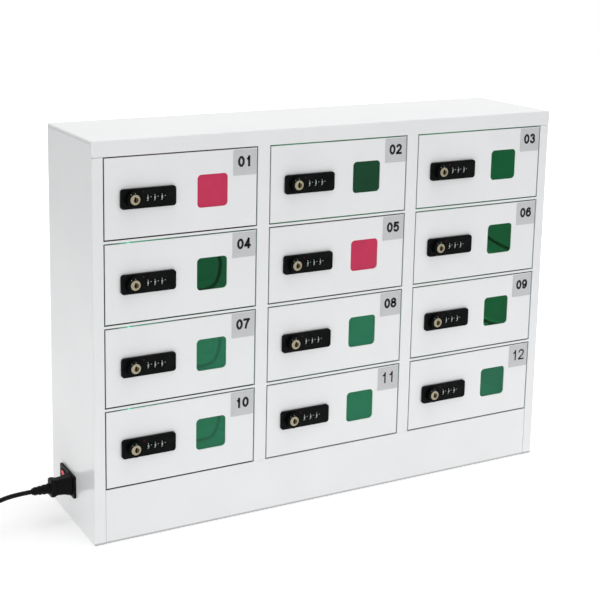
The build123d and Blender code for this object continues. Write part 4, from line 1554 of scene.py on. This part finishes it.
@dataclass
class Doors:
    """The twelve doors with their windows, locks, knobs, number labels and marks.

    What is added to a door is modelled once in an opening's frame and copied to each door.
    """

    nodes: dict[str, bpy.types.Object]
    finishes: Finishes
    label_size: float = 32.6 * MM
    label_right: float = 1.0 * MM
    label_top: float = 1.4 * MM
    label_thickness: float = 0.3 * MM
    label_corner: float = 1.2 * MM
    label_rise: float = 0.04 * MM
    face_edge: float = 0.25 * MM
    print_thickness: float = 0.06 * MM
    print_sunk: float = 0.02 * MM
    number_rise: float = 1.3 * MM
    number_left: float = 0.1 * MM
    thin_numbers: tuple[int, ...] = (11, 12)
    bold: Digits = Digits(14.1 * MM, pen=0.225, width=0.67, advance=0.72)
    thin: Digits = Digits(15.8 * MM, pen=0.145, advance=0.72)
    on_wheels: Digits = Digits(3.9 * MM, pen=0.20, width=0.50)
    wheel_steps: tuple[int, ...] = (-1, 0, 1)
    wheel_tick: tuple[float, float] = (1.4 * MM, 0.7 * MM)
    wheel_tick_place: tuple[float, float] = (4.2 * MM, 1.0 * MM)
    knob_bars: tuple[tuple[float, ...], ...] = (
        (0.0, 7.9 * MM, 0.7 * MM, 1.5 * MM), (-5.2 * MM, 6.8 * MM, 1.3 * MM, 0.7 * MM))
    tick_corner: float = 0.25 * MM
    mark_place: tuple[float, float] = (13.0 * MM, 8.0 * MM)
    mark_radius: float = 1.1 * MM
    mark_rise: float = 0.03 * MM
    mark_sides: int = 20
    # Doors with a painted glow of the compartment's light in their top gap.
    bright_gap: tuple[int, ...] = (4, 7, 10)
    label_grey: Speckled = Speckled((0.585, 0.592, 0.602), (0.50, 0.505, 0.515))
    white_print: Speckled = Speckled((0.50, 0.54, 0.54), (0.40, 0.43, 0.43), 0.3 * MM)
    grey_print: Speckled = Speckled((0.34, 0.35, 0.35), (0.27, 0.28, 0.28), 0.3 * MM)
    red_print: Speckled = Speckled((0.075, 0.008, 0.008), (0.055, 0.006, 0.006))
    dark_print: Speckled = Speckled((0.012, 0.012, 0.014), (0.025, 0.025, 0.028))

    @property
    def label_edges(self) -> tuple[float, float]:
        """The label's right and top edges in an opening's frame."""
        return (LAYOUT.opening_width - LAYOUT.door_gap - self.label_right,
                LAYOUT.opening_height - LAYOUT.door_gap - self.label_top)

    def label(self) -> bpy.types.Object:
        """A grey number label with rounded corners.

        Returns:
            The label.
        """
        right, top = self.label_edges
        plate = Bench.block("label", (right - self.label_size, -self.label_thickness,
                                      top - self.label_size), (right, 0.0, top))
        Bench.round_edges(plate, self.label_corner, 1)
        Bench.raise_front(plate, self.face_edge, self.label_rise)
        Bench.smooth(plate)
        return plate

    def number(self, number: int) -> bpy.types.Object:
        """A door's number, printed on its label.

        Args:
            number: The door's number.

        Returns:
            The digits.
        """
        pen = self.thin if number in self.thin_numbers else self.bold
        digits = pen.write("digits", LAYOUT.tag(number))
        right, top = self.label_edges
        half = self.label_size / 2
        digits.data.transform(Matrix.Translation((
            right - half - self.number_left, -self.label_thickness - self.label_rise,
            top - half + self.number_rise)))
        return digits

    def ticks(self, name: str, face: float, places: Sequence[tuple[float, ...]]) -> bpy.types.Object:
        """Small printed bars with rounded corners.

        Args:
            name: The piece's name.
            face: The Y of the face that they are printed on.
            places: Each bar's x and z, width and height.

        Returns:
            The bars as one mesh.
        """
        back = face - self.print_sunk
        front = back - self.print_thickness
        bars = []
        for x, z, width, height in places:
            bars.append(Bench.block("tick", (x - width / 2, front, z - height / 2),
                                    (x + width / 2, back, z + height / 2)))
            Bench.round_edges(bars[-1], self.tick_corner, 1, segments=2)
        return Bench.join(bars, name)

    def wheel_ticks(self) -> bpy.types.Object:
        """The bars on a lock's face plate that point at the wheels' set digits.

        Returns:
            The bars as one mesh.
        """
        first = LAYOUT.plate_left + LAYOUT.dial_first + self.wheel_tick_place[0]
        height = LAYOUT.lock_middle + self.wheel_tick_place[1]
        return self.ticks("wheel_ticks", -LAYOUT.plate_thickness,
                          [(first + dial * LAYOUT.dial_pitch, height, *self.wheel_tick)
                           for dial in range(LAYOUT.dial_count)])

    def knob_ticks(self) -> bpy.types.Object:
        """The two bars on a knob's face that show which way it is turned."""
        return self.ticks("knob_ticks", LAYOUT.knob_front,
                          [(LAYOUT.knob_x + x, LAYOUT.lock_middle + z, width, height)
                           for x, z, width, height in self.knob_bars])

    def open_mark(self) -> bpy.types.Object:
        """The small red dot between the knob and the wheels.

        Returns:
            The dot.
        """
        face = -LAYOUT.plate_thickness - self.print_sunk
        dot = Bench.disc("open_mark", self.mark_radius, face - self.print_thickness, face,
                         self.mark_sides)
        Bench.raise_front(dot, self.face_edge, self.mark_rise)
        right, up = self.mark_place
        dot.data.transform(Matrix.Translation((LAYOUT.knob_x + right, 0.0, LAYOUT.lock_middle + up)))
        return dot

    def wheel_digits(self) -> bpy.types.Object:
        """The digits on the flats that show of a lock's three wheels.

        Returns:
            The digits as one mesh.
        """
        flat = LAYOUT.dial_radius * math.cos(math.pi / LAYOUT.dial_sides)
        axis_y = LAYOUT.dial_radius - LAYOUT.plate_thickness - LAYOUT.dial_proud
        digits = []
        for step in self.wheel_steps:
            digit = self.on_wheels.write("wheel_digit", str(step % 10))
            digit.data.transform(Matrix.Translation((0.0, -flat - self.print_thickness / 2, 0.0)))
            digit.data.transform(Matrix.Rotation(-2 * math.pi * step / LAYOUT.dial_sides, 4, "X"))
            digits.append(digit)
        one = Bench.join(digits, "one_wheel")
        wheels = []
        for dial in range(LAYOUT.dial_count):
            x = LAYOUT.plate_left + LAYOUT.dial_first + dial * LAYOUT.dial_pitch
            axle = Matrix.Translation((x, axis_y, LAYOUT.lock_middle))
            wheels.append(Bench.copy(one, "wheel", axle))
        Bench.drop([one])
        return Bench.join(wheels, "wheel_digits")

    def coat(self, number: int) -> tuple[str, DoorCoat]:
        """The name and finish of a door's coat.

        Args:
            number: The door's number.

        Returns:
            The material's name and its finish.
        """
        status = LAYOUT.status(number)
        if number in self.bright_gap:
            return "door_coat_bright_gap", DoorCoat(status=status, gap_glow=1.0)
        return f"door_coat_{status.name.lower()}", DoorCoat(status=status)

    def dress_nodes(self, number: int) -> None:
        """Dresses a door's own pieces of the frame.

        Args:
            number: The door's number.
        """
        tag, pane_light = LAYOUT.tag(number), PaneLight.of(number)
        self.finishes.dress(self.nodes[f"door_{tag}"], *self.coat(number))
        self.finishes.dress(self.nodes[f"window_{tag}"], f"{pane_light.name.lower()}_pane",
                            LitPane(pane_light.colour, pane_light.cover))
        self.finishes.dress(self.nodes[f"lock_{tag}"], "lock_enamel", LockEnamel())
        self.finishes.dress(self.nodes[f"knob_{tag}"], "knob_finish", KnobFinish())

    def build(self) -> None:
        """Dresses every door and adds its label, number and marks."""
        trims = {
            "label": (self.label(), "label_grey", self.label_grey),
            "wheel_ticks": (self.wheel_ticks(), "white_print", self.white_print),
            "knob_ticks": (self.knob_ticks(), "grey_print", self.grey_print),
            "open_mark": (self.open_mark(), "red_print", self.red_print),
            "wheel_digits": (self.wheel_digits(), "white_print", self.white_print),
        }
        for number in LAYOUT.numbers():
            tag = LAYOUT.tag(number)
            self.dress_nodes(number)
            place = Matrix.Translation(LAYOUT.origin(number))
            for kind, (original, finish_name, finish) in trims.items():
                piece = Bench.copy(original, f"{kind}_{tag}", place)
                self.finishes.dress(piece, finish_name, finish)
                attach(piece, f"knob_{tag}" if kind == "knob_ticks" else f"door_{tag}")
            printed = self.number(number)
            printed.data.transform(place)
            printed.name = f"number_{tag}"
            self.finishes.dress(printed, "dark_print", self.dark_print)
            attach(printed, f"door_{tag}")
        Bench.drop(original for original, _, _ in trims.values())
        log.info("doors: %d", len(LAYOUT.numbers()))


@dataclass
class Inlet:
    """The switched mains inlet and the lead's mouldings."""

    nodes: dict[str, bpy.types.Object]
    finishes: Finishes

    def build(self) -> None:
        """Dresses the inlet, its rocker and the lead's ends."""
        self.finishes.dress(self.nodes["power_inlet"], "black_moulding", Moulding())
        self.finishes.dress(self.nodes["inlet_rocker"], "rocker", RockerFinish())
        self.finishes.dress(self.nodes["lead_ends"], "lead_moulding", LeadMoulding())
        log.info("inlet dressed")


# ------------------------------------------------------------------------------------------- studio
@dataclass(frozen=True)
class Lamp:
    """A square soft light that points at the locker's middle."""

    name: str
    place: Point
    size: float
    power: float
    aim: Point = (0.0, 0.0, 0.25)

    def build(self) -> None:
        """Adds the lamp."""
        data = bpy.data.lights.new(self.name, "AREA")
        data.size = self.size
        data.energy = self.power
        lamp = Bench.add(self.name, data)
        lamp.location = self.place
        ahead = Vector(self.aim) - Vector(self.place)
        lamp.rotation_euler = ahead.to_track_quat("-Z", "Y").to_euler()


@dataclass(frozen=True)
class Studio:
    """A pale floor and soft studio light."""

    world_strength: float = 0.55
    floor_size: float = 9.0
    floor_drop: float = 0.2 * MM
    floor_white: Colour = (0.94, 0.94, 0.94)
    floor_glow: tuple[float, float] = (0.45, 0.1)
    glow_reach: tuple[float, float] = (2.0, 0.8)
    floor_lift: float = 0.30
    floor_whitens: tuple[float, float] = (0.6, 1.5)
    lamps: tuple[Lamp, ...] = (
        Lamp("top_light", (0.2, -0.2, 2.6), 2.2, 28.0),
        Lamp("front_light", (0.7, -2.6, 0.9), 1.8, 5.4),
        Lamp("left_light", (-2.6, -0.5, 0.25), 1.8, 1.6))

    def world(self) -> None:
        """A white surround, dimmer where it only lights the object."""
        world = bpy.data.worlds.new("surround")
        bpy.context.scene.world = world
        world.use_nodes = True
        surround = Tree(world.node_tree)
        seen = surround.background("Is Glossy Ray", "Is Transmission Ray")
        sky = surround.tree.nodes["Background"]
        surround.feed(sky.inputs["Color"], WHITE)
        surround.feed(sky.inputs["Strength"], seen * (1.0 - self.world_strength) + self.world_strength)

    def floor(self) -> None:
        """A plain white floor that keeps the object's shadow."""
        Bench.clear()
        bpy.ops.mesh.primitive_plane_add(size=self.floor_size)
        floor = bpy.context.object
        floor.name = "floor"
        floor.data.transform(Matrix.Translation((0.0, 0.0, -self.floor_drop)))
        white = Shader("floor_white")
        flat = white.x.hypot(white.y)
        lift = flat.ramp(*self.floor_whitens) * (1.0 - self.floor_lift) + self.floor_lift
        near, far = self.floor_glow
        glow = flat.ramp(*self.glow_reach) * (near - far) + far
        seen = white.background("Is Transmission Ray")
        shown = white.mix(seen * lift + (1.0 - seen) * glow, BLACK, WHITE)
        white.set(Base_Color=self.floor_white, Roughness=0.9, Specular_IOR_Level=0.0,
                  Emission_Color=shown, Emission_Strength=1.0)
        floor.data.materials.append(white.material)

    def build(self) -> None:
        """The surround, the floor and the lamps."""
        self.world()
        self.floor()
        for lamp in self.lamps:
            lamp.build()
        bpy.context.scene.view_settings.view_transform = "Standard"


def main() -> None:
    """Builds the looks in order."""
    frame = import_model()
    Bench.clear()
    finishes = Finishes()
    Viewpoint().build()
    Cords(finishes).build()
    Cabinet(frame["nodes"], finishes).build()
    Doors(frame["nodes"], finishes).build()
    Inlet(frame["nodes"], finishes).build()
    Studio().build()
    log.info("sizes written")


if __name__ == "__main__":
    main()
